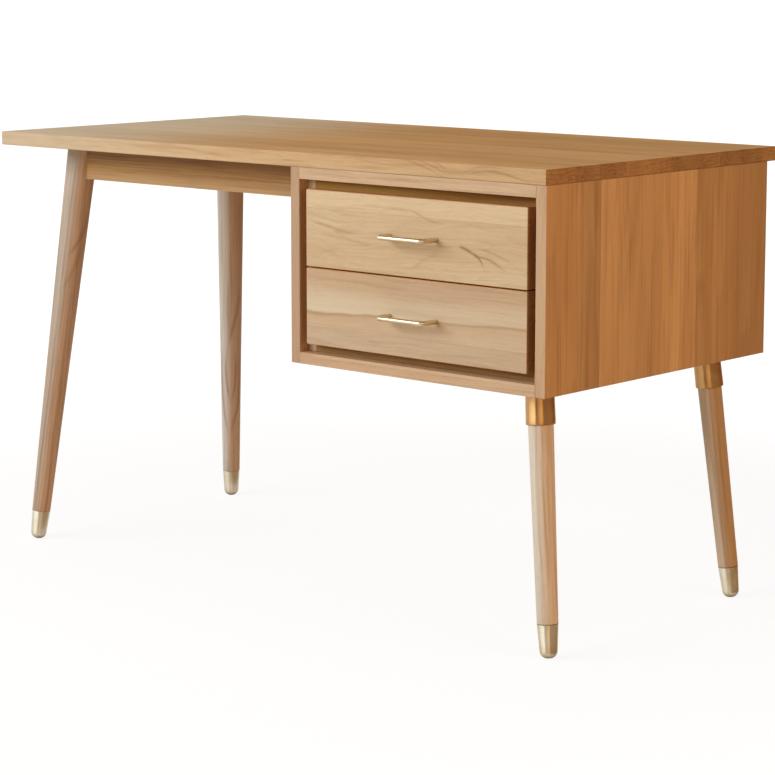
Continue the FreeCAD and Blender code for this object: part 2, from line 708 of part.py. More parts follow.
# The drawers, lower first. Each is an applied front on a grooved box, hung between two three-part slides.
for level, index in (("lower", 0), ("upper", 1)):
    front_low = "open_low + reveal + %d * (front_tall + front_gap)" % index
    box_low = front_low + " + box_rise"
    inside = "box_wide - 2 * box_wall"
    name = level + "_drawer_"
    front = board(
        name + "front", ("open_x + reveal", "y_front", front_low), ("front_wide", "front_thick", "front_tall")
    )
    ease_edges(front, name + "front_corners", "front_corner", lambda edge: runs_along(edge, 1))
    ease_edges(front, name + "front_arris", "ease / 2", lambda edge: lies_at(edge, 1, 0))
    box_front = board(
        name + "box_front", ("box_x + box_wall", "box_y", box_low), (inside, "box_wall", "box_tall")
    )
    cut_box(
        box_front,
        name + "box_front_groove",
        ("0", "box_wall - groove", "bottom_up"),
        (inside, "groove", "bottom_ply"),
    )
    screws = []
    for hand, half in (("left", "- pull_spread / 2"), ("right", "+ pull_spread / 2")):
        cut_hole(
            front,
            name + "front_hole_" + hand,
            ("front_wide / 2 " + half, "0", "front_tall / 2"),
            "pull_screw / 2",
            "front_thick",
            along="Y",
        )
        cut_hole(
            box_front,
            name + "box_front_hole_" + hand,
            ("(%s) / 2 %s" % (inside, half), "0", "front_tall / 2 - box_rise"),
            "pull_screw / 2",
            "box_wall",
            along="Y",
        )
        screws.append(
            screw(
                name + "pull_screw_" + hand,
                ("open_x + open_wide / 2 " + half, "box_y + box_wall", front_low + " + front_tall / 2"),
                "pull_screw / 2",
                "box_wall + front_thick + pull_bend",
                "screw_head_r",
                "screw_head",
                TO_FRONT,
            )
        )
    for hand, x, inner_face in (
        ("left", "box_x", "box_wall - groove"),
        ("right", "box_x + box_wide - box_wall", "0"),
    ):
        side = board(name + "side_" + hand, (x, "box_y", box_low), ("box_wall", "box_long", "box_tall"))
        cut_box(
            side,
            name + "side_groove_" + hand,
            (inner_face, "box_wall - groove", "bottom_up"),
            ("groove", "box_long - 2 * (box_wall - groove)", "bottom_ply"),
        )
    rear = board(
        name + "back",
        ("box_x + box_wall", "box_y + box_long - box_wall", box_low),
        (inside, "box_wall", "box_tall"),
    )
    cut_box(rear, name + "back_groove", ("0", "0", "bottom_up"), (inside, "groove", "bottom_ply"))
    board(
        name + "bottom",
        ("box_x + box_wall - groove", "box_y + box_wall - groove", box_low + " + bottom_up"),
        (inside + " + 2 * groove", "box_long - 2 * (box_wall - groove)", "bottom_ply"),
    )
    pull(level + "_pull", ("open_x + open_wide / 2", "y_front", front_low + " + front_tall / 2"))
    group(level + "_pull_screws", screws)
    slide_y = "frame_y + slide_start"
    slide_z = box_low + " + box_tall / 2"
    for hand, x, sign in (("left", "hole_x", 1), ("right", "hole_x + hole_wide", -1)):
        at = (x, slide_y, slide_z)
        for member, (web, flange, tall, opens) in SLIDE_MEMBERS.items():
            channel("%s_slide_%s_%s" % (level, member, hand), at, web, flange, tall, opens, sign)

doc.recompute()
for obj in doc.Objects:
    if "Invalid" in obj.State or "Error" in obj.State:
        raise ValueError("%s is not sound: %s" % (obj.Label, obj.State))
for cut in CUTS:
    if cut.Shape.Volume >= cut.BaseFeature.Shape.Volume:
        raise ValueError(cut.Label + " cuts nothing")
for node in NODES:
    if node.Shape.isNull() or not node.Shape.isValid():
        raise ValueError(node.Label + " has no valid shape")
    node.Shape.exportStep("parts/%s.step" % node.Label)
whole = FreeCAD.BoundBox()
for node in NODES:
    whole.add(node.Shape.BoundBox)
print("pieces %d" % len(NODES))
print("box x %.2f %.2f" % (whole.XMin, whole.XMax))
print("box y %.2f %.2f" % (whole.YMin, whole.YMax))
print("box z %.2f %.2f" % (whole.ZMin, whole.ZMax))
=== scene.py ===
# %% [markdown]
# # A writing desk in light wood and satin brass
# This lesson dresses a finished CAD model of a writing desk. The solids already have their true shapes,
# so the work here is the camera, the light and above all the surfaces: glued-up boards with real grain,
# turned legs, and brushed brass on the pulls, collars and feet. Everything is in metres, in the same
# frame as the CAD model: +X runs along the desk to the drawer cabinet, -Y faces the person who sits at
# it, and +Z is up.

import math

import bpy
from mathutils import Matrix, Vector


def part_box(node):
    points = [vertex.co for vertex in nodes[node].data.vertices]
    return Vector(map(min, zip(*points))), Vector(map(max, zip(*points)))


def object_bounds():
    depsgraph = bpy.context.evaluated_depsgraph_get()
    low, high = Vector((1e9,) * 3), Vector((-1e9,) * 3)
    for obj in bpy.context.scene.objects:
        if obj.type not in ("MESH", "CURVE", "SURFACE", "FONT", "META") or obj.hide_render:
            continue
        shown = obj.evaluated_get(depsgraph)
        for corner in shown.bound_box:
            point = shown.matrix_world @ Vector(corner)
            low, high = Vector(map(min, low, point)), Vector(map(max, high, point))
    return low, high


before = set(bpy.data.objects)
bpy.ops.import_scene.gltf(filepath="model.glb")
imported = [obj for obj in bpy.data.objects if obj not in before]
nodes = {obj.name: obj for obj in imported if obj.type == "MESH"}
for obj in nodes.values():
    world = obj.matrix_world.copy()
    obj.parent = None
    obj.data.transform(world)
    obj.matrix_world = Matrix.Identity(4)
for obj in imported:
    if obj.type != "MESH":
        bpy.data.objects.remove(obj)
cad_low, cad_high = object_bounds()
print("nodes:", len(nodes), "box:", [round(v, 3) for v in cad_high - cad_low])

# %% [markdown]
# ## Where things are
# A few measures are read from the solids, so that the camera and lamps follow the desk if its sizes
# change. The photograph was solved for its camera with the front left corner of the top as the zero
# point, so that corner is the anchor here too.

# %% Measure the desk
top_low, top_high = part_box("desktop")
cabinet_low, cabinet_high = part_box("cabinet_right_side")
anchor = Vector((top_low.x, top_low.y, top_high.z))
desk_middle = (cad_low + cad_high) / 2
print("front left corner of the top:", [round(v, 3) for v in anchor])

# %% [markdown]
# ## Camera
# The photograph looks at the drawers from the right, a little above the top, through a long lens. The
# numbers come from matching straight edges of the desk between the photograph and the model. The
# picture is square, so the focal length in pixels is turned into millimetres with the picture's own
# width, and a small lens shift keeps the uprights nearly parallel, as they are in the photograph.

# %% Place the camera
PICTURE_WIDE = 775
FOCAL_PIXELS = 2505.5
CAMERA_FROM_ANCHOR = Vector((3.523, -2.929, 0.3133))
CAMERA_TURN = math.radians(41.5)
CAMERA_DOWN = math.radians(8.041)
SENSOR_WIDE = 36
LENS_SHIFT = -0.1

camera_data = bpy.data.cameras.new("photo_camera")
camera = bpy.data.objects.new("photo_camera", camera_data)
bpy.context.scene.collection.objects.link(camera)
camera.location = anchor + CAMERA_FROM_ANCHOR
look = Vector(
    (
        -math.sin(CAMERA_TURN) * math.cos(CAMERA_DOWN),
        math.cos(CAMERA_TURN) * math.cos(CAMERA_DOWN),
        -math.sin(CAMERA_DOWN),
    )
)
camera.rotation_euler = look.to_track_quat("-Z", "Y").to_euler()
camera_data.sensor_width = SENSOR_WIDE
camera_data.lens = camera_data.sensor_width * FOCAL_PIXELS / PICTURE_WIDE
camera_data.shift_y = LENS_SHIFT
camera_data.clip_end = 100
bpy.context.scene.camera = camera
distance = (camera.location - desk_middle).length
print("lens %.1f mm, %.2f m from the desk" % (camera_data.lens, distance))

# %% [markdown]
# ## Small tools for shader nodes
# Every finish below is a graph of shader nodes. These helpers keep the graphs readable: one adds a
# node, one feeds a socket with a link or a plain number, others wrap the arithmetic that grain needs,
# and the last ones start a material and feed its shader with a finish.


# %% Node helpers
def add_node(tree, kind, **settings):
    node = tree.nodes.new(kind)
    for name, value in settings.items():
        setattr(node, name, value)
    return node


def feed(tree, socket, value):
    """Links an output to a socket, or sets the socket to a plain value."""
    if isinstance(value, bpy.types.NodeSocket):
        tree.links.new(value, socket)
    else:
        socket.default_value = value


def feed_named(tree, node, values):
    for label, value in values.items():
        feed(tree, node.inputs[label], value)


def feed_in_order(tree, node, values):
    for socket, value in zip(node.inputs, values):
        feed(tree, socket, value)


def maths(tree, operation, *values):
    node = add_node(tree, "ShaderNodeMath", operation=operation)
    feed_in_order(tree, node, values)
    return node.outputs[0]


def times(tree, first, second):
    return maths(tree, "MULTIPLY", first, second)


def centred(tree, noise):
    """Moves a value that runs from 0 to 1 so that it swings to both sides of 0."""
    return maths(tree, "SUBTRACT", noise, 0.5)


def bell(tree, offset):
    """A soft bump across a line: 1 on the line and almost 0 at an offset of 2."""
    return maths(tree, "EXPONENT", times(tree, times(tree, offset, offset), -1.0))


def split(tree, vector):
    node = add_node(tree, "ShaderNodeSeparateXYZ")
    feed(tree, node.inputs[0], vector)
    return node.outputs


def joined(tree, *values):
    node = add_node(tree, "ShaderNodeCombineXYZ")
    feed_in_order(tree, node, values)
    return node.outputs[0]


def stretched_noise(tree, place, scale, detail):
    """Noise whose features are stretched: a large scale makes them short along that axis."""
    node = add_node(tree, "ShaderNodeVectorMath", operation="MULTIPLY")
    feed_in_order(tree, node, (place, scale))
    noise = add_node(tree, "ShaderNodeTexNoise")
    feed_named(tree, noise, {"Scale": 1, "Detail": detail, "Vector": node.outputs[0]})
    return noise.outputs


def ramp(tree, value, low, high, start=0.0, end=1.0):
    """Maps low to high onto start to end, with a smooth step and no overshoot."""
    node = add_node(tree, "ShaderNodeMapRange", interpolation_type="SMOOTHSTEP")
    feed_in_order(tree, node, (value, low, high, start, end))
    return node.outputs[0]


def mix_shaders(tree, factor, first, second):
    node = add_node(tree, "ShaderNodeMixShader")
    feed_in_order(tree, node, (factor, first.outputs[0], second.outputs[0]))
    return node.outputs[0]


def mix_colours(tree, factor, first, second):
    node = add_node(tree, "ShaderNodeMix", data_type="RGBA")
    feed(tree, node.inputs[0], factor)
    feed(tree, node.inputs[6], first)
    feed(tree, node.inputs[7], second)
    return node.outputs[2]


def brighten(tree, colour, amount):
    node = add_node(tree, "ShaderNodeVectorMath", operation="SCALE")
    feed(tree, node.inputs[0], colour)
    feed(tree, node.inputs["Scale"], amount)
    return node.outputs[0]


def new_group(name, inputs, outputs):
    """A shader node group with named sockets: the tree, its input sockets and its output sockets."""
    tree = bpy.data.node_groups.new(name, "ShaderNodeTree")
    for label, (kind, value) in inputs.items():
        socket = tree.interface.new_socket(label, in_out="INPUT", socket_type="NodeSocket" + kind)
        socket.default_value = value
    for label, kind in outputs.items():
        tree.interface.new_socket(label, in_out="OUTPUT", socket_type="NodeSocket" + kind)
    return tree, tree.nodes.new("NodeGroupInput").outputs, tree.nodes.new("NodeGroupOutput").inputs


def use_group(tree, group, values):
    node = add_node(tree, "ShaderNodeGroup", node_tree=group)
    feed_named(tree, node, values)
    return node.outputs


def screen_colour(red, green, blue):
    """A colour as it looks on a screen, 0 to 255, in the linear light that shaders use."""
    linear = [((v / 255 + 0.055) / 1.055) ** 2.4 for v in (red, green, blue)]
    return (*linear, 1.0)


def new_material(name):
    material = bpy.data.materials.new(name)
    material.use_nodes = True
    return material, material.node_tree.nodes["Principled BSDF"]


def apply_finish(tree, shader, finish, bump_strength, relief):
    """Feeds a shader with what a finish group puts out: a colour, a roughness and a height for bump."""
    feed_named(tree, shader, {"Base Color": finish["Color"], "Roughness": finish["Roughness"]})
    bump = add_node(tree, "ShaderNodeBump")
    values = {"Strength": bump_strength, "Distance": relief, "Height": finish["Height"]}
    feed_named(tree, bump, values)
    feed(tree, shader.inputs["Normal"], bump.outputs[0])


print("node helpers ready")

# %% [markdown]
# ## Boards glued side by side
# The top and the cabinet sides are wide, so they are glued up from narrow staves cut from different
# planks. Each stave has its own tone and its own stretch of grain, and a hair-thin glue line lies
# between neighbours. A one-dimensional Voronoi texture across the boards does this well: each cell is a
# stave of slightly different width, its colour gives random numbers that hold for the whole stave, and
# its edge distance gives the glue line.

# %% Group: glued staves
UNEVEN_WIDTHS = 0.6
PLANK_LONG = 5.0
PLANK_THICK = 0.03
GLUE_LINE_WIDE = 0.0008
ORIGIN = ("Vector", (0, 0, 0))
STAVE_INPUTS = {"Stave Width": ("Float", 0.06), "Seed": ("Float", 0)}

staves, inlet, outlet = new_group(
    "glued_staves",
    {"Position": ORIGIN, **STAVE_INPUTS},
    {"Place": "Vector", "Tone": "Float", "Glue Line": "Float"},
)
along, across, through = split(staves, inlet["Position"])
count = maths(staves, "ADD", maths(staves, "DIVIDE", across, inlet["Stave Width"]), inlet["Seed"])
cell = add_node(staves, "ShaderNodeTexVoronoi", voronoi_dimensions="1D", feature="F1")
edge = add_node(staves, "ShaderNodeTexVoronoi", voronoi_dimensions="1D", feature="DISTANCE_TO_EDGE")
for texture in (cell, edge):
    feed_named(staves, texture, {"Scale": 1, "Randomness": UNEVEN_WIDTHS, "W": count})
chance = add_node(staves, "ShaderNodeSeparateColor")
feed(staves, chance.inputs[0], cell.outputs["Color"])
from_heart = times(staves, maths(staves, "SUBTRACT", count, cell.outputs["W"]), inlet["Stave Width"])
shift_across = times(staves, centred(staves, chance.outputs[1]), inlet["Stave Width"])
feed(
    staves,
    outlet["Place"],
    joined(
        staves,
        maths(staves, "MULTIPLY_ADD", chance.outputs[0], PLANK_LONG, along),
        maths(staves, "ADD", from_heart, shift_across),
        maths(staves, "MULTIPLY_ADD", chance.outputs[2], PLANK_THICK, through),
    ),
)
feed(staves, outlet["Tone"], centred(staves, chance.outputs[2]))
gap = times(staves, edge.outputs["Distance"], inlet["Stave Width"])
feed(staves, outlet["Glue Line"], ramp(staves, gap, 0.0, GLUE_LINE_WIDE, 1.0, 0.0))
print("group:", staves.name)

# %% [markdown]
# ## Growth rings, fibres and pores
# A plank shows where it was cut from its log. The rings are cylinders round the pith, and a board that
# is cut a little out of line with the pith meets them at a shallow angle, which draws the long pointed
# arches called cathedrals on its face and curved bands on its end. So the figure here is a solid one:
# the distance to a leaning, slightly wavering pith, folded into rings. Fine fibres and short pores are
# noise stretched hard along the grain.

# %% Group: wood figure
WAVER_STRETCH = (3.6, 10, 10)
SEASON_STRETCH = (1.2, 24, 24)
PATCH_STRETCH = (2.2, 20, 20)
STREAK_STRETCH = (3.2, 150, 150)
FIBRE_STRETCH = (9, 520, 520)
PORE_STRETCH = (70, 1900, 1900)
DRIFT_STRETCH = (0.9, 13, 13)
SWAY_GAIN = 2.0
SEASON_YEARS = 3.0
LATE_WOOD_POWER = 2.6
RING_END_POWER = 9.0
PATCH_LIMITS = (0.38, 0.68)
FAINTEST_RING = 0.1
STREAK_LIMITS = (0.46, 0.74)
PORE_LIMITS = (0.60, 0.72)
DRIFT_LIMITS = (0.3, 0.7)
RING_INPUTS = {
    "Ring Spacing": ("Float", 0.006),
    "Pith Depth": ("Float", 0.05),
    "Lean": ("Float", 0.03),
    "Wobble": ("Float", 0.005),
}

figure, inlet, outlet = new_group(
    "wood_figure",
    {"Place": ORIGIN, **RING_INPUTS},
    {"Rings": "Float", "Streaks": "Float", "Fibres": "Float", "Pores": "Float", "Drift": "Float"},
)
along, across, through = split(figure, inlet["Place"])
waver = add_node(figure, "ShaderNodeSeparateColor")
feed(figure, waver.inputs[0], stretched_noise(figure, inlet["Place"], WAVER_STRETCH, 4)["Color"])
sway = [times(figure, centred(figure, waver.outputs[i]), inlet["Wobble"]) for i in (0, 1)]
off_pith = maths(figure, "MULTIPLY_ADD", sway[0], SWAY_GAIN, across)
depth = maths(figure, "ADD", through, inlet["Pith Depth"])
depth = maths(figure, "ADD", depth, times(figure, along, inlet["Lean"]))
depth = maths(figure, "MULTIPLY_ADD", sway[1], SWAY_GAIN, depth)
squares = maths(figure, "ADD", times(figure, off_pith, off_pith), times(figure, depth, depth))
radius = maths(figure, "SQRT", squares)
season = stretched_noise(figure, inlet["Place"], SEASON_STRETCH, 3)["Fac"]
rings_out = maths(figure, "DIVIDE", radius, inlet["Ring Spacing"])
years = maths(figure, "MULTIPLY_ADD", season, SEASON_YEARS, rings_out)
year = maths(figure, "FRACT", years)
late_wood = maths(figure, "POWER", year, LATE_WOOD_POWER)
fade = maths(figure, "SUBTRACT", 1.0, maths(figure, "POWER", year, RING_END_POWER))
patches = stretched_noise(figure, inlet["Place"], PATCH_STRETCH, 3)["Fac"]
strength = ramp(figure, patches, *PATCH_LIMITS, start=FAINTEST_RING)
feed(figure, outlet["Rings"], times(figure, times(figure, late_wood, fade), strength))
wandering = joined(figure, along, off_pith, depth)
streak_noise = stretched_noise(figure, wandering, STREAK_STRETCH, 4)["Fac"]
feed(figure, outlet["Streaks"], ramp(figure, streak_noise, *STREAK_LIMITS))
feed(figure, outlet["Fibres"], stretched_noise(figure, wandering, FIBRE_STRETCH, 4)["Fac"])
pore_noise = stretched_noise(figure, inlet["Place"], PORE_STRETCH, 1)["Fac"]
feed(figure, outlet["Pores"], ramp(figure, pore_noise, *PORE_LIMITS))
drift_noise = stretched_noise(figure, inlet["Place"], DRIFT_STRETCH, 3)["Fac"]
feed(figure, outlet["Drift"], ramp(figure, drift_noise, *DRIFT_LIMITS))
print("group:", figure.name)

# %% [markdown]
# ## A lacquered wood finish
# One more group turns the figure into what the shader needs: a colour, a roughness and a height for
# bump. Light early wood drifts towards a middle tone, late wood, pores and glue lines pull towards a
# dark one, and each stave is a little lighter or darker than the next. The lacquer is satin, so it
# stays a bit rougher where fibres stand up.

# %% Group: lacquered wood
PORE_SHARE = 0.22
GLUE_SHARE = 0.35
FIBRE_LIMITS = (0.25, 0.75)
FIBRE_TONES = (0.95, 1.06)
SATIN = 0.38
FIBRE_ROUGHNESS = 0.16
PORE_ROUGHNESS = 0.12
FIBRE_HEIGHT = 0.5
RING_HEIGHT = -0.25
PORE_HEIGHT = -0.5
GLUE_HEIGHT = -0.6

lacquered, inlet, outlet = new_group(
    "lacquered_wood",
    {
        "Position": ORIGIN,
        **STAVE_INPUTS,
        **RING_INPUTS,
        "Light": ("Color", (0.6, 0.4, 0.2, 1)),
        "Middle": ("Color", (0.5, 0.3, 0.15, 1)),
        "Dark": ("Color", (0.3, 0.15, 0.06, 1)),
        "Ring Strength": ("Float", 0.32),
        "Streak Strength": ("Float", 0.4),
        "Tone Spread": ("Float", 0.15),
    },
    {"Color": "Color", "Roughness": "Float", "Height": "Float"},
)
stave_values = {name: inlet[name] for name in ("Position", *STAVE_INPUTS)}
laid = use_group(lacquered, staves, stave_values)
ring_values = {name: inlet[name] for name in RING_INPUTS}
grain = use_group(lacquered, figure, {"Place": laid["Place"], **ring_values})
colour = mix_colours(lacquered, grain["Drift"], inlet["Light"], inlet["Middle"])
darkening = [
    (grain["Rings"], inlet["Ring Strength"]),
    (grain["Streaks"], inlet["Streak Strength"]),
    (grain["Pores"], PORE_SHARE),
    (laid["Glue Line"], GLUE_SHARE),
]
for mask, share in darkening:
    colour = mix_colours(lacquered, times(lacquered, mask, share), colour, inlet["Dark"])
tone = maths(lacquered, "MULTIPLY_ADD", laid["Tone"], inlet["Tone Spread"], 1.0)
tone = times(lacquered, tone, ramp(lacquered, grain["Fibres"], *FIBRE_LIMITS, *FIBRE_TONES))
feed(lacquered, outlet["Color"], brighten(lacquered, colour, tone))
rough = maths(lacquered, "MULTIPLY_ADD", grain["Fibres"], FIBRE_ROUGHNESS, SATIN)
rough = maths(lacquered, "MULTIPLY_ADD", grain["Pores"], PORE_ROUGHNESS, rough)
feed(lacquered, outlet["Roughness"], rough)
height = times(lacquered, grain["Fibres"], FIBRE_HEIGHT)
sunk = [(grain["Rings"], RING_HEIGHT), (grain["Pores"], PORE_HEIGHT), (laid["Glue Line"], GLUE_HEIGHT)]
for mask, share in sunk:
    height = maths(lacquered, "MULTIPLY_ADD", mask, share, height)
feed(lacquered, outlet["Height"], height)
print("group:", lacquered.name)

# %% [markdown]
# ## Marks that belong to one board
# Two kinds of mark are too particular to leave to chance. A dark streak is where a small branch left
# the trunk or where one strong growth ring shows, and it is drawn as a thin line that bends and fades
# at both ends. The sapwood edge is a pale band that stops at a wavering line, where the young outer
# wood of the log meets the darker heart.

# %% Group: dark streak
FADE_IN = 0.25
FADE_OUT = 0.55
STREAK_TREMBLE = (20, 26, 20)

streak, inlet, outlet = new_group(
    "dark_streak",
    {
        "Position": ORIGIN,
        "Start": ORIGIN,
        "Length": ("Float", 0.05),
        "Slope": ("Float", 0),
        "Bend": ("Float", 0),
        "Width": ("Float", 0.001),
        "Tremble": ("Float", 0.006),
    },
    {"Mask": "Float"},
)
along, across = split(streak, inlet["Position"])[:2]
start_along, start_across = split(streak, inlet["Start"])[:2]
share = maths(streak, "DIVIDE", maths(streak, "SUBTRACT", along, start_along), inlet["Length"])
run = times(streak, share, inlet["Length"])
line = maths(streak, "MULTIPLY_ADD", run, inlet["Slope"], start_across)
line = maths(streak, "MULTIPLY_ADD", times(streak, share, share), inlet["Bend"], line)
tremble = stretched_noise(streak, inlet["Position"], STREAK_TREMBLE, 2)["Fac"]
line = maths(streak, "MULTIPLY_ADD", centred(streak, tremble), inlet["Tremble"], line)
offset = maths(streak, "DIVIDE", maths(streak, "SUBTRACT", across, line), inlet["Width"])
core = bell(streak, offset)
ends = times(streak, ramp(streak, share, 0.0, FADE_IN), ramp(streak, share, FADE_OUT, 1.0, 1.0, 0.0))
feed(streak, outlet["Mask"], times(streak, core, ends))
print("group:", streak.name)

# %% Group: sapwood edge
EDGE_TREMBLE = (7, 30, 7)
TREMBLE_TALL = 0.026
PALE_START = 0.004
LINE_WIDE = 0.003
LINE_BELOW = 0.002
HEART_DEEP = 0.036

sapwood, inlet, outlet = new_group(
    "sapwood_edge",
    {
        "Position": ORIGIN,
        "Height": ("Float", 0),
        "Rise": ("Float", 0),
        "Band": ("Float", 0.04),
    },
    {"Pale": "Float", "Line": "Float", "Heart": "Float"},
)
along, across = split(sapwood, inlet["Position"])[:2]
tremble = stretched_noise(sapwood, inlet["Position"], EDGE_TREMBLE, 3)["Fac"]
level = maths(sapwood, "MULTIPLY_ADD", along, inlet["Rise"], inlet["Height"])
level = maths(sapwood, "MULTIPLY_ADD", centred(sapwood, tremble), TREMBLE_TALL, level)
above_line = maths(sapwood, "SUBTRACT", across, level)
upper_fade = ramp(sapwood, above_line, PALE_START, inlet["Band"], 1.0, 0.0)
feed(sapwood, outlet["Pale"], times(sapwood, ramp(sapwood, above_line, 0.0, PALE_START), upper_fade))
near = maths(sapwood, "DIVIDE", above_line, LINE_WIDE)
feed(sapwood, outlet["Line"], bell(sapwood, near))
lower_fade = ramp(sapwood, above_line, -HEART_DEEP, -PALE_START)
line_fade = ramp(sapwood, above_line, -LINE_BELOW, LINE_WIDE, 1.0, 0.0)
feed(sapwood, outlet["Heart"], times(sapwood, lower_fade, line_fade))
print("group:", sapwood.name)

# %% [markdown]
# ## Wood materials
# The grain runs along the length of each piece, so a material is told which axis is along the grain,
# which is across the staves, and which goes through the thickness. Object coordinates keep the grain
# fixed to a drawer when it slides. The timber is the same throughout, and each part of the desk differs
# in how its boards were cut and in how wide their staves are. Some palettes also carry painted light
# and shade. The right side is darker and warmer, partly its own tone and partly painted shade, with
# more painted shade towards the back. The inner rails and the drawer fronts' edges are dark as painted
# shade in the gaps. Every palette has an early-wood, a middle and a late-wood colour. Some boards
# change along or across their length: the front rail has a painted shadow of the top along its upper
# edge and painted light along its lower one, and the rail above the drawers goes from golden to
# red-brown.


# %% Wood colours
def palette(light, middle, dark):
    colours = {"Light": light, "Middle": middle, "Dark": dark}
    return {name: screen_colour(*colour) for name, colour in colours.items()}


UPPER_COLOURS = palette((210, 184, 147), (199, 164, 124), (159, 114, 74))
LOWER_COLOURS = palette((201, 176, 144), (190, 157, 124), (150, 108, 75))
EDGE_COLOURS = palette((211, 177, 141), (202, 164, 128), (158, 115, 80))
SHADED_EDGE_COLOURS = palette((187, 153, 122), (177, 139, 108), (135, 97, 70))
ARRIS_COLOURS = palette((203, 172, 132), (194, 156, 114), (148, 105, 67))
SIDE_COLOURS = palette((193, 141, 90), (177, 124, 74), (129, 82, 46))
LEFT_SIDE_COLOURS = palette((204, 156, 108), (188, 138, 90), (136, 92, 56))
TOP_COLOURS = palette((211, 171, 121), (199, 154, 101), (149, 104, 61))
SHEEN_TOP_COLOURS = palette((230, 209, 177), (220, 192, 152), (170, 137, 98))
END_COLOURS = palette((160, 111, 66), (146, 97, 56), (101, 61, 33))
RAIL_COLOURS = palette((185, 141, 84), (167, 120, 65), (102, 60, 26))
INNER_COLOURS = palette((164, 116, 59), (144, 99, 48), (100, 65, 29))
LOW_INNER_COLOURS = palette((178, 140, 90), (158, 120, 74), (112, 82, 48))
BOX_COLOURS = palette((206, 183, 149), (196, 166, 128), (156, 118, 80))
PAINTED_REAR_SHADE = screen_colour(138, 90, 50)
RAIL_PAINTED_SHADOW = screen_colour(104, 58, 26)
RAIL_PAINTED_LIGHT = screen_colour(206, 172, 129)
GOLDEN = screen_colour(176, 137, 70)
print("wood colours ready")

# %% Make a wood material
AXES = {"x": (1, 0, 0), "y": (0, 1, 0), "z": (0, 0, 1)}
FACE_DEPTH = 0.0011
WOOD_BUMP = 0.25
WOOD_RELIEF = 0.0004


def measured_along(tree, direction):
    """How far each point of the object lies along a direction: an axis by its letter, or a vector."""
    node = add_node(tree, "ShaderNodeVectorMath", operation="DOT_PRODUCT")
    feed(tree, node.inputs[0], add_node(tree, "ShaderNodeTexCoord").outputs["Object"])
    node.inputs[1].default_value = AXES[direction] if isinstance(direction, str) else direction
    return node.outputs["Value"]


def grain_position(tree, grain_axes):
    """The place on the object as along the grain, across the staves and through the board."""
    return joined(tree, *[measured_along(tree, axis) for axis in grain_axes])


def wood_finish(tree, grain_axes, colours, values):
    """Lacquered wood whose grain follows three axes: along, across and through."""
    position = grain_position(tree, grain_axes)
    return use_group(tree, lacquered, {"Position": position, **colours, **values})


def wood_material(name, grain_axes, colours, values, sheen=0.25):
    material, shader = new_material(name)
    tree = material.node_tree
    finish = wood_finish(tree, grain_axes, colours, values)
    apply_finish(tree, shader, finish, WOOD_BUMP, WOOD_RELIEF)
    shader.inputs["Specular IOR Level"].default_value = sheen
    return material


def paint_over(material, mask, colour):
    """Blends a colour over what already feeds the material's base colour."""
    tree = material.node_tree
    base = tree.nodes["Principled BSDF"].inputs["Base Color"]
    feed(tree, base, mix_colours(tree, mask, base.links[0].from_socket, colour))


def face_with(material, axis, plane, grain_axes, colours, values):
    """Gives the face that lies in a plane across an axis a grain and colours of its own."""
    tree = material.node_tree
    mask = maths(tree, "COMPARE", measured_along(tree, axis), plane, FACE_DEPTH)
    paint_over(material, mask, wood_finish(tree, grain_axes, colours, values)["Color"])


print("wood materials can be made")

# %% Make the cabinet's boards
PAINTED_REAR_SHADE_SHARE = 0.4
SIDE_GRAIN = {
    "Stave Width": 0.05,
    "Seed": 1.7,
    "Lean": 0.02,
    "Tone Spread": 0.24,
    "Ring Strength": 0.45,
    "Streak Strength": 0.4,
}
EDGE_GRAIN = {"Stave Width": 0.09, "Seed": 0.7, "Tone Spread": 0.05}
side_wood = wood_material("side_wood", "zyx", SIDE_COLOURS, SIDE_GRAIN)
tree = side_wood.node_tree
# Painted shade: the side board darkens towards the back of the cabinet, where the warm light from the
# right falls off.
painted_rear_shade_share = ramp(tree, measured_along(tree, "y"), desk_middle.y, cabinet_high.y, 0.0, PAINTED_REAR_SHADE_SHARE)
paint_over(side_wood, painted_rear_shade_share, PAINTED_REAR_SHADE)
face_with(side_wood, "y", cabinet_low.y, "zxy", EDGE_COLOURS, EDGE_GRAIN)
left_side_wood = wood_material("left_side_wood", "zyx", LEFT_SIDE_COLOURS, SIDE_GRAIN)
face_with(left_side_wood, "y", cabinet_low.y, "zxy", SHADED_EDGE_COLOURS, EDGE_GRAIN)
FRAME_GRAIN = {"Stave Width": 0.09, "Seed": 5.1, "Tone Spread": 0.08}
edge_wood = wood_material("edge_wood", "xzy", EDGE_COLOURS, FRAME_GRAIN)
print("cabinet materials:", side_wood.name, left_side_wood.name, edge_wood.name)

# %% Make the rails
RAIL_SHADOW_FROM = 0.2
RAIL_SHADOW_SHARE = 0.72
RAIL_LIGHT_UP_TO = 0.45
RAIL_LIGHT_SHARE = 0.5
GOLDEN_SHARE = 0.65
RAIL_GRAIN = {
    "Stave Width": 0.4,
    "Seed": 6.3,
    "Ring Strength": 0.9,
    "Streak Strength": 0.5,
    "Wobble": 0.003,
}
rail_wood = wood_material("rail_wood", "xzy", RAIL_COLOURS, RAIL_GRAIN)
tree = rail_wood.node_tree
rail_low, rail_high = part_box("front_rail")
up_rail = measured_along(tree, "z")
rail_tall = rail_high.z - rail_low.z
# The rail's upper edge gets a painted shadow, where the overhanging top shades it, and its lower edge a
# paler painted light.
painted_shadow_share = ramp(tree, up_rail, rail_low.z + RAIL_SHADOW_FROM * rail_tall, rail_high.z, 0.0, RAIL_SHADOW_SHARE)
paint_over(rail_wood, painted_shadow_share, RAIL_PAINTED_SHADOW)
painted_light_share = ramp(tree, up_rail, rail_low.z, rail_low.z + RAIL_LIGHT_UP_TO * rail_tall, RAIL_LIGHT_SHARE, 0.0)
paint_over(rail_wood, painted_light_share, RAIL_PAINTED_LIGHT)
INNER_GRAIN = {"Stave Width": 0.09, "Seed": 2.4}
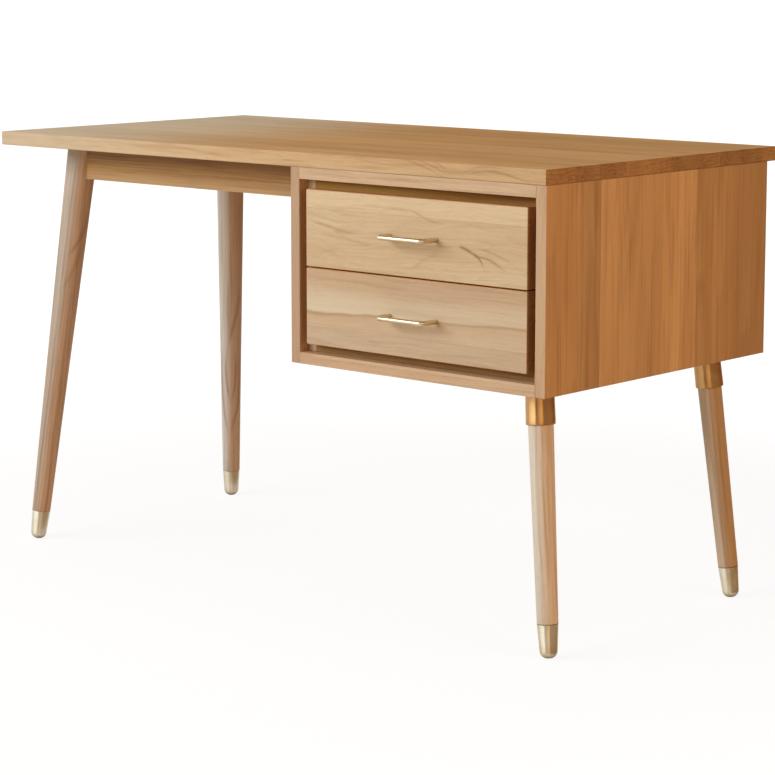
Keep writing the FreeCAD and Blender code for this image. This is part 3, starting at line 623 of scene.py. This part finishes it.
# The inner rails' dark palette is painted shade in the gaps round the drawer fronts, where the rails
# show.
inner_wood = wood_material("inner_wood", "xzy", INNER_COLOURS, INNER_GRAIN, sheen=0.05)
tree = inner_wood.node_tree
inner_low, inner_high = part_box("frame_rail_top")
golden_share = ramp(tree, measured_along(tree, "x"), inner_low.x, inner_high.x, GOLDEN_SHARE, 0.0)
paint_over(inner_wood, golden_share, GOLDEN)
low_inner_wood = wood_material("low_inner_wood", "xzy", LOW_INNER_COLOURS, INNER_GRAIN, sheen=0.05)
print("rail materials:", rail_wood.name, inner_wood.name, low_inner_wood.name)

# %% Make the posts, the drawer boxes and the plywood
post_wood = wood_material("post_wood", "zyx", EDGE_COLOURS, {"Stave Width": 0.09, "Seed": 2.9})
BOX_GRAIN = {"Stave Width": 0.11, "Ring Strength": 0.3}
box_wood = wood_material("box_wood", "yzx", BOX_COLOURS, {"Seed": 4.4, **BOX_GRAIN})
end_wood = wood_material("end_wood", "xzy", BOX_COLOURS, {"Seed": 4.9, **BOX_GRAIN})
PLY_GRAIN = {"Stave Width": 0.5, "Seed": 8.8, "Lean": 0.06, "Ring Spacing": 0.012}
plywood = wood_material("plywood", "xzy", BOX_COLOURS, PLY_GRAIN)
print("wood materials:", [m.name for m in bpy.data.materials if "wood" in m.name])

# %% [markdown]
# ## The legs
# Each leg is turned from its own blank, so each gets its own stretch of grain, and the front right one
# is the palest. Each leg is pale and cool on one side and warm on the other: painted light on the side
# towards the left and painted shade on the other, split along a fixed direction across the leg. Where
# a leg enters its brass cap a fine dark line shows, the gap between wood and metal filled with wax and
# dust. It is clearer on the right legs. The legs are splayed, so the grain runs up the leg's own axis
# and the line lies across it. The axis runs between the middles of the leg's two ends, and the rim is
# the point of the cap that lies furthest up along it.

# %% Make the leg materials
LEG_GRAIN = {
    "Stave Width": 3.0,
    "Lean": 0.03,
    "Ring Spacing": 0.007,
    "Ring Strength": 0.55,
    "Streak Strength": 0.5,
}
LEG_BLANKS = {
    "front_left": {
        "joint": 0.25,
        "seed": 0.2,
        "lit_side": palette((184, 167, 150), (172, 144, 120), (131, 100, 77)),
        "shaded_side": palette((206, 165, 131), (191, 141, 102), (147, 98, 65)),
    },
    "rear_left": {
        "joint": 0.25,
        "seed": 0.2,
        "lit_side": palette((211, 204, 195), (197, 181, 163), (153, 128, 109)),
        "shaded_side": palette((204, 166, 134), (190, 145, 110), (146, 101, 72)),
    },
    "front_right": {
        "joint": 0.75,
        "seed": 0.2,
        "lit_side": palette((226, 220, 207), (217, 199, 177), (170, 143, 118)),
        "shaded_side": palette((212, 179, 146), (203, 160, 123), (158, 111, 78)),
    },
    "rear_right": {
        "joint": 0.75,
        "seed": 0.24,
        "lit_side": palette((216, 196, 172), (202, 169, 137), (154, 115, 86)),
        "shaded_side": palette((179, 134, 88), (166, 116, 70), (129, 81, 45)),
    },
}
BLANK_TURN = math.radians(42)
LIT_SIDE_FROM = -0.017
LIT_SIDE_TO = 0.007
LINE_HALF = 0.0007
END_SLICE = 0.004
WAX_COLOUR = screen_colour(70, 44, 26)


def middle(points):
    return sum(points, Vector()) / len(points)


def foot_and_axes(leg):
    """The middle of a leg's lower end, the direction up the leg and two directions square to it."""
    points = [vertex.co for vertex in nodes[leg].data.vertices]
    low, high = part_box(leg)
    foot = middle([p for p in points if p.z < low.z + END_SLICE])
    head = middle([p for p in points if p.z > high.z - END_SLICE])
    up_leg = (head - foot).normalized()
    through = up_leg.cross(Vector((math.cos(BLANK_TURN), math.sin(BLANK_TURN), 0))).normalized()
    return foot, (up_leg, through.cross(up_leg), through)


leg_woods = {}
for corner, blank in LEG_BLANKS.items():
    foot, leg_axes = foot_and_axes("leg_" + corner)
    up_leg, across_leg = leg_axes[:2]
    grain = {"Seed": blank["seed"], **LEG_GRAIN}
    leg_wood = wood_material("leg_wood_" + corner, leg_axes, blank["shaded_side"], grain)
    tree = leg_wood.node_tree
    # The pale, cool palette is painted light on the left side of the leg, and the warm one painted
    # shade on the other side.
    lit_side = wood_finish(tree, leg_axes, blank["lit_side"], grain)
    axis_across = foot.dot(across_leg)
    off_axis = measured_along(tree, across_leg)
    painted_light_share = ramp(tree, off_axis, axis_across + LIT_SIDE_FROM, axis_across + LIT_SIDE_TO, 1.0, 0.0)
    paint_over(leg_wood, painted_light_share, lit_side["Color"])
    rim = max(vertex.co.dot(up_leg) for vertex in nodes["foot_cap_" + corner].data.vertices)
    line = maths(tree, "COMPARE", measured_along(tree, up_leg), rim + LINE_HALF, LINE_HALF)
    paint_over(leg_wood, times(tree, line, blank["joint"]), WAX_COLOUR)
    leg_woods["leg_" + corner] = leg_wood
print("leg materials:", list(leg_woods))

# %% [markdown]
# ## The top, with a painted sheen at one end
# The top is a deeper amber at the cabinet end and paler at the left: a painted sheen, the lacquer's
# reflection of the bright surroundings on that side. The same lacquer group is used, and a soft ramp
# along the boards blends a pale tone over it.

# %% Make the desktop material
PAINTED_SHEEN = screen_colour(216, 208, 192)
PAINTED_SHEEN_SHARE = 0.55
SHEEN_ARRIS = screen_colour(198, 184, 160)
SHEEN_ARRIS_SHARE = 0.5
TOP_GRAIN = {"Stave Width": 0.062, "Seed": 3.3, "Lean": 0.02, "Tone Spread": 0.2, "Ring Strength": 0.42}
top_wood = wood_material("top_wood", "xyz", TOP_COLOURS, TOP_GRAIN, sheen=0.06)
tree = top_wood.node_tree
sheen_top = wood_finish(tree, "xyz", SHEEN_TOP_COLOURS, TOP_GRAIN)
top_middle = (top_low.x + top_high.x) / 2
# Painted sheen: the left half and its front edge get a paler tone for the lacquer's reflection of
# bright surroundings.
sheen_mask = ramp(tree, measured_along(tree, "x"), top_low.x, top_middle, 1.0, 0.0)
paint_over(top_wood, sheen_mask, sheen_top["Color"])
paint_over(top_wood, times(tree, sheen_mask, PAINTED_SHEEN_SHARE), PAINTED_SHEEN)
ARRIS_GRAIN = {"Stave Width": 0.4, "Seed": 0.4, "Lean": 0.05}
face_with(top_wood, "y", top_low.y, "xzy", ARRIS_COLOURS, ARRIS_GRAIN)
front_edge = maths(tree, "COMPARE", measured_along(tree, "y"), top_low.y, FACE_DEPTH)
sheen_edge = times(tree, front_edge, sheen_mask)
paint_over(top_wood, times(tree, sheen_edge, SHEEN_ARRIS_SHARE), SHEEN_ARRIS)
END_GRAIN = {**TOP_GRAIN, "Tone Spread": 0.4, "Ring Strength": 0.9}
face_with(top_wood, "x", top_low.x, "xyz", LEFT_SIDE_COLOURS, END_GRAIN)
face_with(top_wood, "x", top_high.x, "xyz", END_COLOURS, END_GRAIN)
print("desktop material:", top_wood.name)

# %% [markdown]
# ## Marks on the drawer fronts and the top's edge
# The upper front has a forked branch streak to the right of its pull and faint lines that sweep round
# it. The lower front straddles the edge of the sapwood. The front edge of the top is cut through a
# crown of growth rings near the cabinet's corner. The legs have a few long lines, and the rear left one
# shows the nested arches of a cathedral. A mark is placed from the lower left corner of its face, or
# from the foot of its leg: where it starts along and across the grain, how long it is, how it slopes
# and bends, how wide it is and how dark.

# %% List the marks
STREAK_COLOUR = screen_colour(146, 100, 60)


def mark(start, length, dark, slope=0.0, bend=0.0, width=0.002):
    shape = {"Length": length, "Slope": slope, "Bend": bend, "Width": width}
    return start, dark, shape


UPPER_MARKS = [
    mark((0.318, 0.056), length=0.048, dark=0.85, slope=-0.07, bend=-0.014, width=0.0022),
    mark((0.349, 0.046), length=0.026, dark=0.8, slope=0.03, bend=-0.026, width=0.0024),
    mark((0.348, 0.044), length=0.074, dark=0.52, bend=-0.024),
    mark((0.352, 0.056), length=0.09, dark=0.34, slope=-0.07, bend=-0.02),
    mark((0.218, 0.109), length=0.086, dark=0.32, slope=-0.52, bend=0.026),
    mark((0.15, 0.098), length=0.09, dark=0.18, slope=0.28, bend=-0.022, width=0.0022),
    mark((0.004, 0.076), length=0.11, dark=0.34, slope=-0.22, bend=0.006, width=0.0024),
    mark((0.055, 0.062), length=0.076, dark=0.28, slope=-0.03, bend=0.006, width=0.004),
    mark((0.018, 0.057), length=0.16, dark=0.24, slope=-0.12, bend=0.005, width=0.0026),
    mark((0.218, 0.006), length=0.08, dark=0.18, slope=1.0, bend=-0.052, width=0.0034),
    mark((0.0, 0.099), length=0.18, dark=0.2, bend=0.002, width=0.0022),
    mark((0.28, 0.084), length=0.2, dark=0.18, slope=0.06, bend=0.002, width=0.0024),
]
CROWN_MARKS = [
    mark((0.86, 0.019), length=0.14, dark=0.28, slope=-0.07, bend=0.004, width=0.0014),
    mark((0.955, 0.023), length=0.098, dark=0.36, slope=-0.04, bend=-0.02, width=0.0014),
    mark((0.99, 0.025), length=0.072, dark=0.36, slope=-0.12, bend=-0.016, width=0.0014),
    mark((1.018, 0.022), length=0.044, dark=0.36, slope=0.3, bend=-0.036, width=0.0014),
    mark((1.078, 0.0), length=0.044, dark=0.22, slope=1.1, bend=-0.036, width=0.0014),
    mark((1.085, 0.004), length=0.11, dark=0.32, slope=0.44, bend=-0.046, width=0.0014),
    mark((1.12, 0.017), length=0.11, dark=0.4, slope=-0.05, bend=-0.014, width=0.0014),
    mark((1.09, 0.017), length=0.11, dark=0.28, slope=0.2, bend=-0.026, width=0.0014),
]
FRONT_LEFT_MARKS = [
    mark((0.512, -0.012), length=0.11, dark=0.4, slope=0.76, bend=-0.058, width=0.0034),
    mark((0.45, -0.014), length=0.13, dark=0.25, slope=0.52, bend=-0.034, width=0.0036),
    mark((0.08, 0.007), length=0.42, dark=0.3, bend=0.002, width=0.003),
    mark((0.12, -0.005), length=0.3, dark=0.25, bend=0.003, width=0.0022),
]
REAR_LEFT_MARKS = [
    mark((0.108, -0.002), length=0.21, dark=0.6, slope=0.29, bend=-0.047),
    mark((0.108, -0.002), length=0.21, dark=0.6, slope=-0.24, bend=0.04),
    mark((0.181, 0.0), length=0.13, dark=0.6, slope=0.25, bend=-0.026),
    mark((0.181, 0.0), length=0.13, dark=0.6, slope=-0.25, bend=0.026),
    mark((0.3, -0.006), length=0.14, dark=0.55, slope=0.35, bend=-0.026, width=0.003),
]
FRONT_RIGHT_MARKS = [
    mark((0.08, 0.004), length=0.25, dark=0.34, slope=-0.02, bend=-0.004, width=0.0016),
    mark((0.1, -0.009), length=0.25, dark=0.14, bend=0.002, width=0.0014),
]
REAR_RIGHT_MARKS = [
    mark((0.06, 0.003), length=0.3, dark=0.45, bend=0.002, width=0.0022),
    mark((0.09, -0.006), length=0.26, dark=0.25, bend=0.003),
]
LEG_MARKS = {
    "front_left": FRONT_LEFT_MARKS,
    "rear_left": REAR_LEFT_MARKS,
    "front_right": FRONT_RIGHT_MARKS,
    "rear_right": REAR_RIGHT_MARKS,
}
print("marks:", len(UPPER_MARKS), "on the upper front,", len(CROWN_MARKS), "on the edge of the top")


# %% Draw the marks
def draw_marks(material, position, corner, marks, face=1.0):
    """Paints streaks, placed from a corner of a face, where the face mask lets them show."""
    tree = material.node_tree
    for (along, across), dark, shape in marks:
        start = (corner[0] + along, corner[1] + across, 0)
        mask = use_group(tree, streak, {"Position": position, "Start": start, **shape})["Mask"]
        mask = times(tree, mask, face)
        paint_over(material, times(tree, mask, dark), STREAK_COLOUR)


edge_place = grain_position(top_wood.node_tree, "xzy")
draw_marks(top_wood, edge_place, (top_low.x, top_low.z), CROWN_MARKS, front_edge)
for corner, marks in LEG_MARKS.items():
    leg_wood = leg_woods["leg_" + corner]
    foot, leg_axes = foot_and_axes("leg_" + corner)
    leg_place = grain_position(leg_wood.node_tree, leg_axes)
    draw_marks(leg_wood, leg_place, (foot.dot(leg_axes[0]), foot.dot(leg_axes[1])), marks)
print("marks on the legs:", sum(map(len, LEG_MARKS.values())))

# %% [markdown]
# ## The drawer fronts
# Each front is one wide board with quiet grain, and the marks above are what tells them apart. On the
# lower one the sapwood edge is used three times: a pale band above the line, the line itself, and a
# warm band of heartwood below it. The ends are end grain, which drinks more oil than the face and is
# darker, and that dark also stands as painted shade in the gap beside the cabinet side. The long edges
# get the side's darker, warmer colours as painted shade in the gaps between and above the fronts.

# %% Make the drawer front materials
SAP_BAND = screen_colour(216, 197, 166)
HEART_BAND = screen_colour(190, 148, 110)
FRONT_GRAIN = {"Stave Width": 0.4, "Ring Strength": 0.22, "Streak Strength": 0.24}
upper_low, upper_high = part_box("upper_drawer_front")
lower_low, lower_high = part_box("lower_drawer_front")

UPPER_GRAIN = {"Seed": 0.13, "Lean": 0.03, "Wobble": 0.022, **FRONT_GRAIN}
upper_front_wood = wood_material("upper_front_wood", "xzy", UPPER_COLOURS, UPPER_GRAIN)
upper_place = grain_position(upper_front_wood.node_tree, "xzy")
draw_marks(upper_front_wood, upper_place, (upper_low.x, upper_low.z), UPPER_MARKS)

LOWER_GRAIN = {"Seed": 0.61, "Lean": 0.02, "Wobble": 0.014, **FRONT_GRAIN}
lower_front_wood = wood_material("lower_front_wood", "xzy", LOWER_COLOURS, LOWER_GRAIN)
tree = lower_front_wood.node_tree
position = grain_position(tree, "xzy")
SAP_RISE = 0.03
SAP_START = 0.053
SAP_TALL = 0.042
SAP_LEFT_SHARE = 0.75
SAP_RIGHT_SHARE = 0.15
HEART_BAND_SHARE = 0.4
SAP_LINE_SHARE = 0.35
height = lower_low.z + SAP_START - SAP_RISE * lower_low.x
line_values = {"Height": height, "Rise": SAP_RISE, "Band": SAP_TALL}
edge = use_group(tree, sapwood, {"Position": position, **line_values})
along_front = measured_along(tree, "x")
pale_share = ramp(tree, along_front, lower_low.x, lower_high.x, SAP_LEFT_SHARE, SAP_RIGHT_SHARE)
paint_over(lower_front_wood, times(tree, edge["Pale"], pale_share), SAP_BAND)
paint_over(lower_front_wood, times(tree, edge["Heart"], HEART_BAND_SHARE), HEART_BAND)
paint_over(lower_front_wood, times(tree, edge["Line"], SAP_LINE_SHARE), STREAK_COLOUR)
fronts = [(upper_front_wood, upper_low, upper_high), (lower_front_wood, lower_low, lower_high)]
for front, low, high in fronts:
    # End grain is darker, and here it is also painted shade in the gap beside the cabinet side.
    for end in (low.x, high.x):
        face_with(front, "x", end, "xzy", END_COLOURS, {"Stave Width": 0.4, "Seed": 0.13})
    # Painted shade: the long edges take the side's darker palette, for the gaps between and above the
    # fronts.
    for long_edge in (low.z, high.z):
        face_with(front, "z", long_edge, "xyz", SIDE_COLOURS, FRONT_GRAIN)
print("front materials:", upper_front_wood.name, lower_front_wood.name)

# %% [markdown]
# ## Brushed metal
# The pulls, collars and feet are solid brass with a satin finish. Fine scratches from the finishing
# belt run round the turned pieces and along the bent rods. They show as a slight change of roughness
# and a very low bump, so the group takes the direction of the scratches as a stretch of its noise. The
# caps darken towards the floor, most of all round the tip: painted shade, the dark rim a cap shows
# where it meets its shadow on the floor.

# %% Group: brushed metal
SCRATCH_SHARE = 0.6
HANDLING_SHARE = 0.4
HANDLING_STRETCH = (38, 38, 38)
WORN_LIMITS = (0.35, 0.7)

brushed, inlet, outlet = new_group(
    "brushed_metal",
    {
        "Position": ORIGIN,
        "Stretch": ("Vector", (40, 40, 3000)),
        "Base": ("Color", (0.8, 0.6, 0.3, 1)),
        "Shade": ("Color", (0.6, 0.4, 0.2, 1)),
        "Smooth": ("Float", 0.2),
        "Rough": ("Float", 0.36),
    },
    {"Color": "Color", "Roughness": "Float", "Height": "Float"},
)
scratches = stretched_noise(brushed, inlet["Position"], inlet["Stretch"], 3)["Fac"]
handling = stretched_noise(brushed, inlet["Position"], HANDLING_STRETCH, 4)["Fac"]
worn = ramp(brushed, handling, *WORN_LIMITS)
feed(brushed, outlet["Color"], mix_colours(brushed, worn, inlet["Base"], inlet["Shade"]))
share = times(brushed, handling, HANDLING_SHARE)
share = maths(brushed, "MULTIPLY_ADD", scratches, SCRATCH_SHARE, share)
span = maths(brushed, "SUBTRACT", inlet["Rough"], inlet["Smooth"])
feed(brushed, outlet["Roughness"], maths(brushed, "MULTIPLY_ADD", share, span, inlet["Smooth"]))
feed(brushed, outlet["Height"], scratches)
print("group:", brushed.name)


# %% Make a metal material
METAL_BUMP = 0.06
METAL_RELIEF = 0.00003
TURNED_STRETCH = 0.9
QUARTER_TURN = 0.25


def metal_material(name, values, turned=False):
    """A brushed metal. Scratches run round a turned piece and draw a highlight out along its length."""
    material, shader = new_material(name)
    tree = material.node_tree
    position = add_node(tree, "ShaderNodeTexCoord").outputs["Object"]
    finish = use_group(tree, brushed, {"Position": position, **values})
    apply_finish(tree, shader, finish, METAL_BUMP, METAL_RELIEF)
    shader.inputs["Metallic"].default_value = 1
    if turned:
        round_axis = add_node(tree, "ShaderNodeTangent", direction_type="RADIAL", axis="Z")
        feed(tree, shader.inputs["Tangent"], round_axis.outputs[0])
        drawn_out = {"Anisotropic": TURNED_STRETCH, "Anisotropic Rotation": QUARTER_TURN}
        feed_named(tree, shader, drawn_out)
    return material


print("metal materials can be made")

# %% Make the brass and steel
# The pieces are the same brass. The caps' and rods' pale bases are partly painted reflection of bright
# surroundings. The collars' darker, warmer one is partly painted shade and a painted reflection of the
# wood above them.
CAP_BRASS = {"Base": screen_colour(233, 226, 206), "Shade": screen_colour(221, 210, 182)}
COLLAR_BRASS = {"Base": screen_colour(204, 159, 106), "Shade": screen_colour(190, 144, 89)}
ROD_BRASS = {"Base": screen_colour(222, 207, 176), "Shade": screen_colour(208, 188, 148)}
ZINC = {"Base": screen_colour(192, 194, 196), "Shade": screen_colour(180, 183, 187)}
TURNED = {"Stretch": (30, 30, 2600), "Smooth": 0.24, "Rough": 0.36}
DRAWN = {"Stretch": (25, 300, 300), "Smooth": 0.3, "Rough": 0.38}
ROLLED = {"Stretch": (900, 30, 900), "Smooth": 0.28, "Rough": 0.5}
cap_brass = metal_material("cap_brass", {**CAP_BRASS, **TURNED}, turned=True)
# Painted shade: two layers darken the cap towards the floor, the darker one close round the tip.
PAINTED_FOOT_SHADE = [
    {"reach": 0.026, "share": 0.45, "colour": screen_colour(190, 160, 108)},
    {"reach": 0.010, "share": 0.95, "colour": screen_colour(108, 84, 48)},
]
tree = cap_brass.node_tree
height = measured_along(tree, "z")
for layer in PAINTED_FOOT_SHADE:
    share = ramp(tree, height, cad_low.z, cad_low.z + layer["reach"], layer["share"], 0.0)
    paint_over(cap_brass, share, layer["colour"])
collar_brass = metal_material("collar_brass", {**COLLAR_BRASS, **TURNED}, turned=True)
rod_brass = metal_material("rod_brass", {**ROD_BRASS, **DRAWN})
zinc_steel = metal_material("zinc_steel", {**ZINC, **ROLLED})
print("metals:", [m.name for m in bpy.data.materials if m.name.endswith(("brass", "steel"))])

# %% [markdown]
# ## Dress the solids
# Each CAD piece takes the material that fits how it was made. The record's slots are too few to tell a
# pull from a collar, so the names of the pieces decide.

# %% Give each piece its material
FINISHES = [
    ("upper_drawer_front", upper_front_wood),
    ("lower_drawer_front", lower_front_wood),
    ("desktop", top_wood),
    ("cabinet_left_side", left_side_wood),
    ("cabinet_right_side", side_wood),
    ("cabinet_back", plywood),
    ("cabinet", edge_wood),
    ("frame_stile", post_wood),
    ("rear_post", post_wood),
    ("frame_rail_top", inner_wood),
    ("frame_rail_bottom", low_inner_wood),
    ("left_rail", box_wood),
    *leg_woods.items(),
    ("collar", collar_brass),
    ("foot_cap", cap_brass),
    ("hanger_bolts", zinc_steel),
    ("threaded_inserts", zinc_steel),
]


def finish_of(name):
    if "slide" in name or name.endswith("screws"):
        return zinc_steel
    if name.endswith("pull"):
        return rod_brass
    if name.endswith("drawer_bottom"):
        return plywood
    if name.endswith(("box_front", "drawer_back")):
        return end_wood
    for start, material in FINISHES:
        if name.startswith(start):
            return material
    return box_wood if "drawer_side" in name else rail_wood


for name, piece in nodes.items():
    for slot in piece.material_slots:
        slot.material = finish_of(name)
print("dressed", len(nodes), "pieces")

# %% [markdown]
# ## Eased edges
# A joiner takes the sharp arris off every edge that a hand can touch, and the narrow rounding catches a
# line of light. The solids have it on the top and the drawer fronts. On the other boards, the legs and
# the collars a bevel modifier adds it, after a weld that joins the corners which the import left apart.

# %% Ease the edges
EASE = 0.0008
BOARDS = ("cabinet", "frame_", "rear_", "front_", "left_rail", "leg_", "collar")
DRAWER_BOARDS = ("_drawer_side", "_drawer_back")
WELD_REACH = 0.00002
SHARP_FROM = math.radians(40)
eased = [name for name in nodes if name.startswith(BOARDS)]
eased += [name for name in nodes if any(part in name for part in DRAWER_BOARDS)]
for name in eased:
    weld = nodes[name].modifiers.new("weld", "WELD")
    weld.merge_threshold = WELD_REACH
    bevel = nodes[name].modifiers.new("eased_edges", "BEVEL")
    bevel.width = EASE
    bevel.segments = 2
    bevel.limit_method = "ANGLE"
    bevel.angle_limit = SHARP_FROM
print("eased", len(eased), "pieces")

# %% [markdown]
# ## Floor and surroundings
# The photograph stands on pure white. A pale floor catches the soft shadow and sends light back up into
# the cabinet. For the camera and for mirror-like rays it is mixed with plain white, more and more with
# distance, so it melts into the white surroundings and still keeps a faint shadow under the desk. Close
# to the feet a reflection keeps more of that shadow, which gives the brass caps their darker lower rim.

# %% Make the floor
FLOOR_SIZE = 30
FLOOR_LOOK = {"Base Color": (0.80, 0.76, 0.70, 1), "Roughness": 0.9, "Specular IOR Level": 0.1}
WHITE_STRENGTH = 1.1
SEEN_WHITE = {"low": 0.9, "high": 2.6, "start": 0.8}
MIRRORED_WHITE = {"low": 0.75, "high": 1.6, "start": 0.4}
floor_middle = Vector((desk_middle.x, desk_middle.y, cad_low.z))
bpy.ops.mesh.primitive_plane_add(size=FLOOR_SIZE, location=floor_middle)
floor = bpy.context.object
floor.name = "floor"
floor_material, floor_shader = new_material("pale_floor")
tree = floor_material.node_tree
feed_named(tree, floor_shader, FLOOR_LOOK)
white = add_node(tree, "ShaderNodeEmission")
white.inputs["Strength"].default_value = WHITE_STRENGTH
rays = add_node(tree, "ShaderNodeLightPath")
place = split(tree, add_node(tree, "ShaderNodeTexCoord").outputs["Object"])
squares = [times(tree, place[i], place[i]) for i in (0, 1)]
away = maths(tree, "SQRT", maths(tree, "ADD", *squares))
direct = maths(tree, "MAXIMUM", rays.outputs["Is Camera Ray"], rays.outputs["Is Transmission Ray"])
seen = times(tree, direct, ramp(tree, away, **SEEN_WHITE))
mirrored = times(tree, rays.outputs["Is Glossy Ray"], ramp(tree, away, **MIRRORED_WHITE))
whitened = mix_shaders(tree, maths(tree, "MAXIMUM", seen, mirrored), floor_shader, white)
feed(tree, tree.nodes["Material Output"].inputs["Surface"], whitened)
floor.data.materials.append(floor_material)
print("floor", FLOOR_SIZE, "m")

# %% Make the surroundings
SOFT_LIGHT = {"Color": (1.0, 0.80, 0.58, 1), "Strength": 0.22}
PURE_WHITE = {"Color": (1, 1, 1, 1), "Strength": 1}
world = bpy.data.worlds.new("studio")
bpy.context.scene.world = world
world.use_nodes = True
tree = world.node_tree
soft_light = tree.nodes["Background"]
feed_named(tree, soft_light, SOFT_LIGHT)
backdrop = add_node(tree, "ShaderNodeBackground")
feed_named(tree, backdrop, PURE_WHITE)
rays = add_node(tree, "ShaderNodeLightPath")
seen = maths(tree, "MAXIMUM", rays.outputs["Is Camera Ray"], rays.outputs["Is Glossy Ray"])
seen = maths(tree, "MAXIMUM", seen, rays.outputs["Is Transmission Ray"])
chosen = mix_shaders(tree, seen, soft_light, backdrop)
feed(tree, tree.nodes["World Output"].inputs["Surface"], chosen)
bpy.context.scene.view_settings.view_transform = "Standard"
print("surroundings ready")

# %% [markdown]
# ## Cards for the reflections
# Satin metal and a lacquered top look flat when everything round them is white. A photographer stands
# cards where only reflections find them: here brown ones behind the desk, above it, to its right and in
# front, tan mats on the floor beside the feet, and a warm card near the camera that glows on its own
# and draws the gold band down the middle of the collars as a painted highlight. They are hidden from
# the camera, light nothing and cast no shadow.

# %% Stand up the cards
CARD_BROWN = (0.40, 0.22, 0.10, 1)
MAT_TAN = (0.58, 0.42, 0.27, 1)
CARD_GLOW_TINT = (1.0, 0.74, 0.46, 1)


def card_material(name, colour, glow=0.0):
    material, shader = new_material(name)
    light = {"Emission Color": CARD_GLOW_TINT, "Emission Strength": glow}
    feed_named(material.node_tree, shader, {"Base Color": colour, "Roughness": 1, **light})
    return material


brown_card = card_material("brown_card", CARD_BROWN)
tan_mat = card_material("tan_mat", MAT_TAN)
# This card glows on its own: a painted highlight for the collars, seen only in reflections.
glowing_card = card_material("glowing_card", CARD_BROWN, glow=1.6)


def stand_card(name, material, place, size, turn=0, tilt=90):
    """A card that only reflections see, tilted up from the floor and turned to face the desk."""
    bpy.ops.mesh.primitive_plane_add(size=1, location=floor_middle + Vector(place))
    card = bpy.context.object
    card.name = name
    card.scale = (*size, 1)
    card.rotation_euler = (math.radians(tilt), 0, math.radians(turn))
    card.data.materials.append(material)
    for ray in ("camera", "diffuse", "transmission", "volume_scatter", "shadow"):
        setattr(card, "visible_" + ray, False)
    return card


cards = [
    stand_card("rear_card", brown_card, place=(0, 2.0, 1.13), size=(7.0, 2.4)),
    stand_card("right_card", brown_card, place=(5.4, 0.0, 1.4), size=(7.0, 2.8), turn=90),
    stand_card("front_card", brown_card, place=(1.0, -3.2, 0.8), size=(1.1, 1.6), turn=18),
    stand_card("glowing_warm_card", glowing_card, place=(2.7, -2.3, 0.8), size=(1.1, 1.6), turn=50),
    stand_card("overhead_card", brown_card, place=(0, -0.9, 2.4), size=(6.0, 3.4), tilt=0),
    stand_card("right_mat", tan_mat, place=(1.62, 0.0, 0.001), size=(2.0, 4.0), tilt=0),
    stand_card("left_mat", tan_mat, place=(-0.33, 0.0, 0.001), size=(0.46, 1.6), tilt=0),
]
print("cards:", [card.name for card in cards])

# %% [markdown]
# ## Lamps
# In the photograph the drawer fronts are the brightest faces, the top is a step darker and the right
# side darker and warmer still. That is a large window-like light in front and to the left, low rather
# than high, a weak warm glow from the right, and a little cool light from the left that edges the legs.


# %% Place the lamps
def soft_lamp(name, place, size, power, tint):
    data = bpy.data.lights.new(name, "AREA")
    data.shape = "RECTANGLE"
    data.size, data.size_y = size
    data.energy = power
    data.color = tint
    lamp = bpy.data.objects.new(name, data)
    bpy.context.scene.collection.objects.link(lamp)
    lamp.location = desk_middle + Vector(place)
    lamp.rotation_euler = (-Vector(place)).to_track_quat("-Z", "Y").to_euler()
    return lamp


soft_lamp("window", place=(-2.0, -4.1, 2.1), size=(4.8, 2.0), power=200, tint=(0.93, 0.985, 1.03))
warm_glow = soft_lamp(
    "warm_glow", place=(4.2, -0.2, 0.9), size=(2.6, 2.0), power=70, tint=(1.0, 0.84, 0.66)
)
warm_glow.visible_glossy = False
cool_rim = soft_lamp(
    "cool_rim", place=(-3.4, 0.6, 0.2), size=(1.6, 1.6), power=16, tint=(0.62, 0.84, 1.0)
)
cool_rim.visible_glossy = False
soft_lamp("overhead", place=(0.2, 0.4, 3.6), size=(3.0, 2.4), power=22, tint=(1.0, 0.9, 0.75))
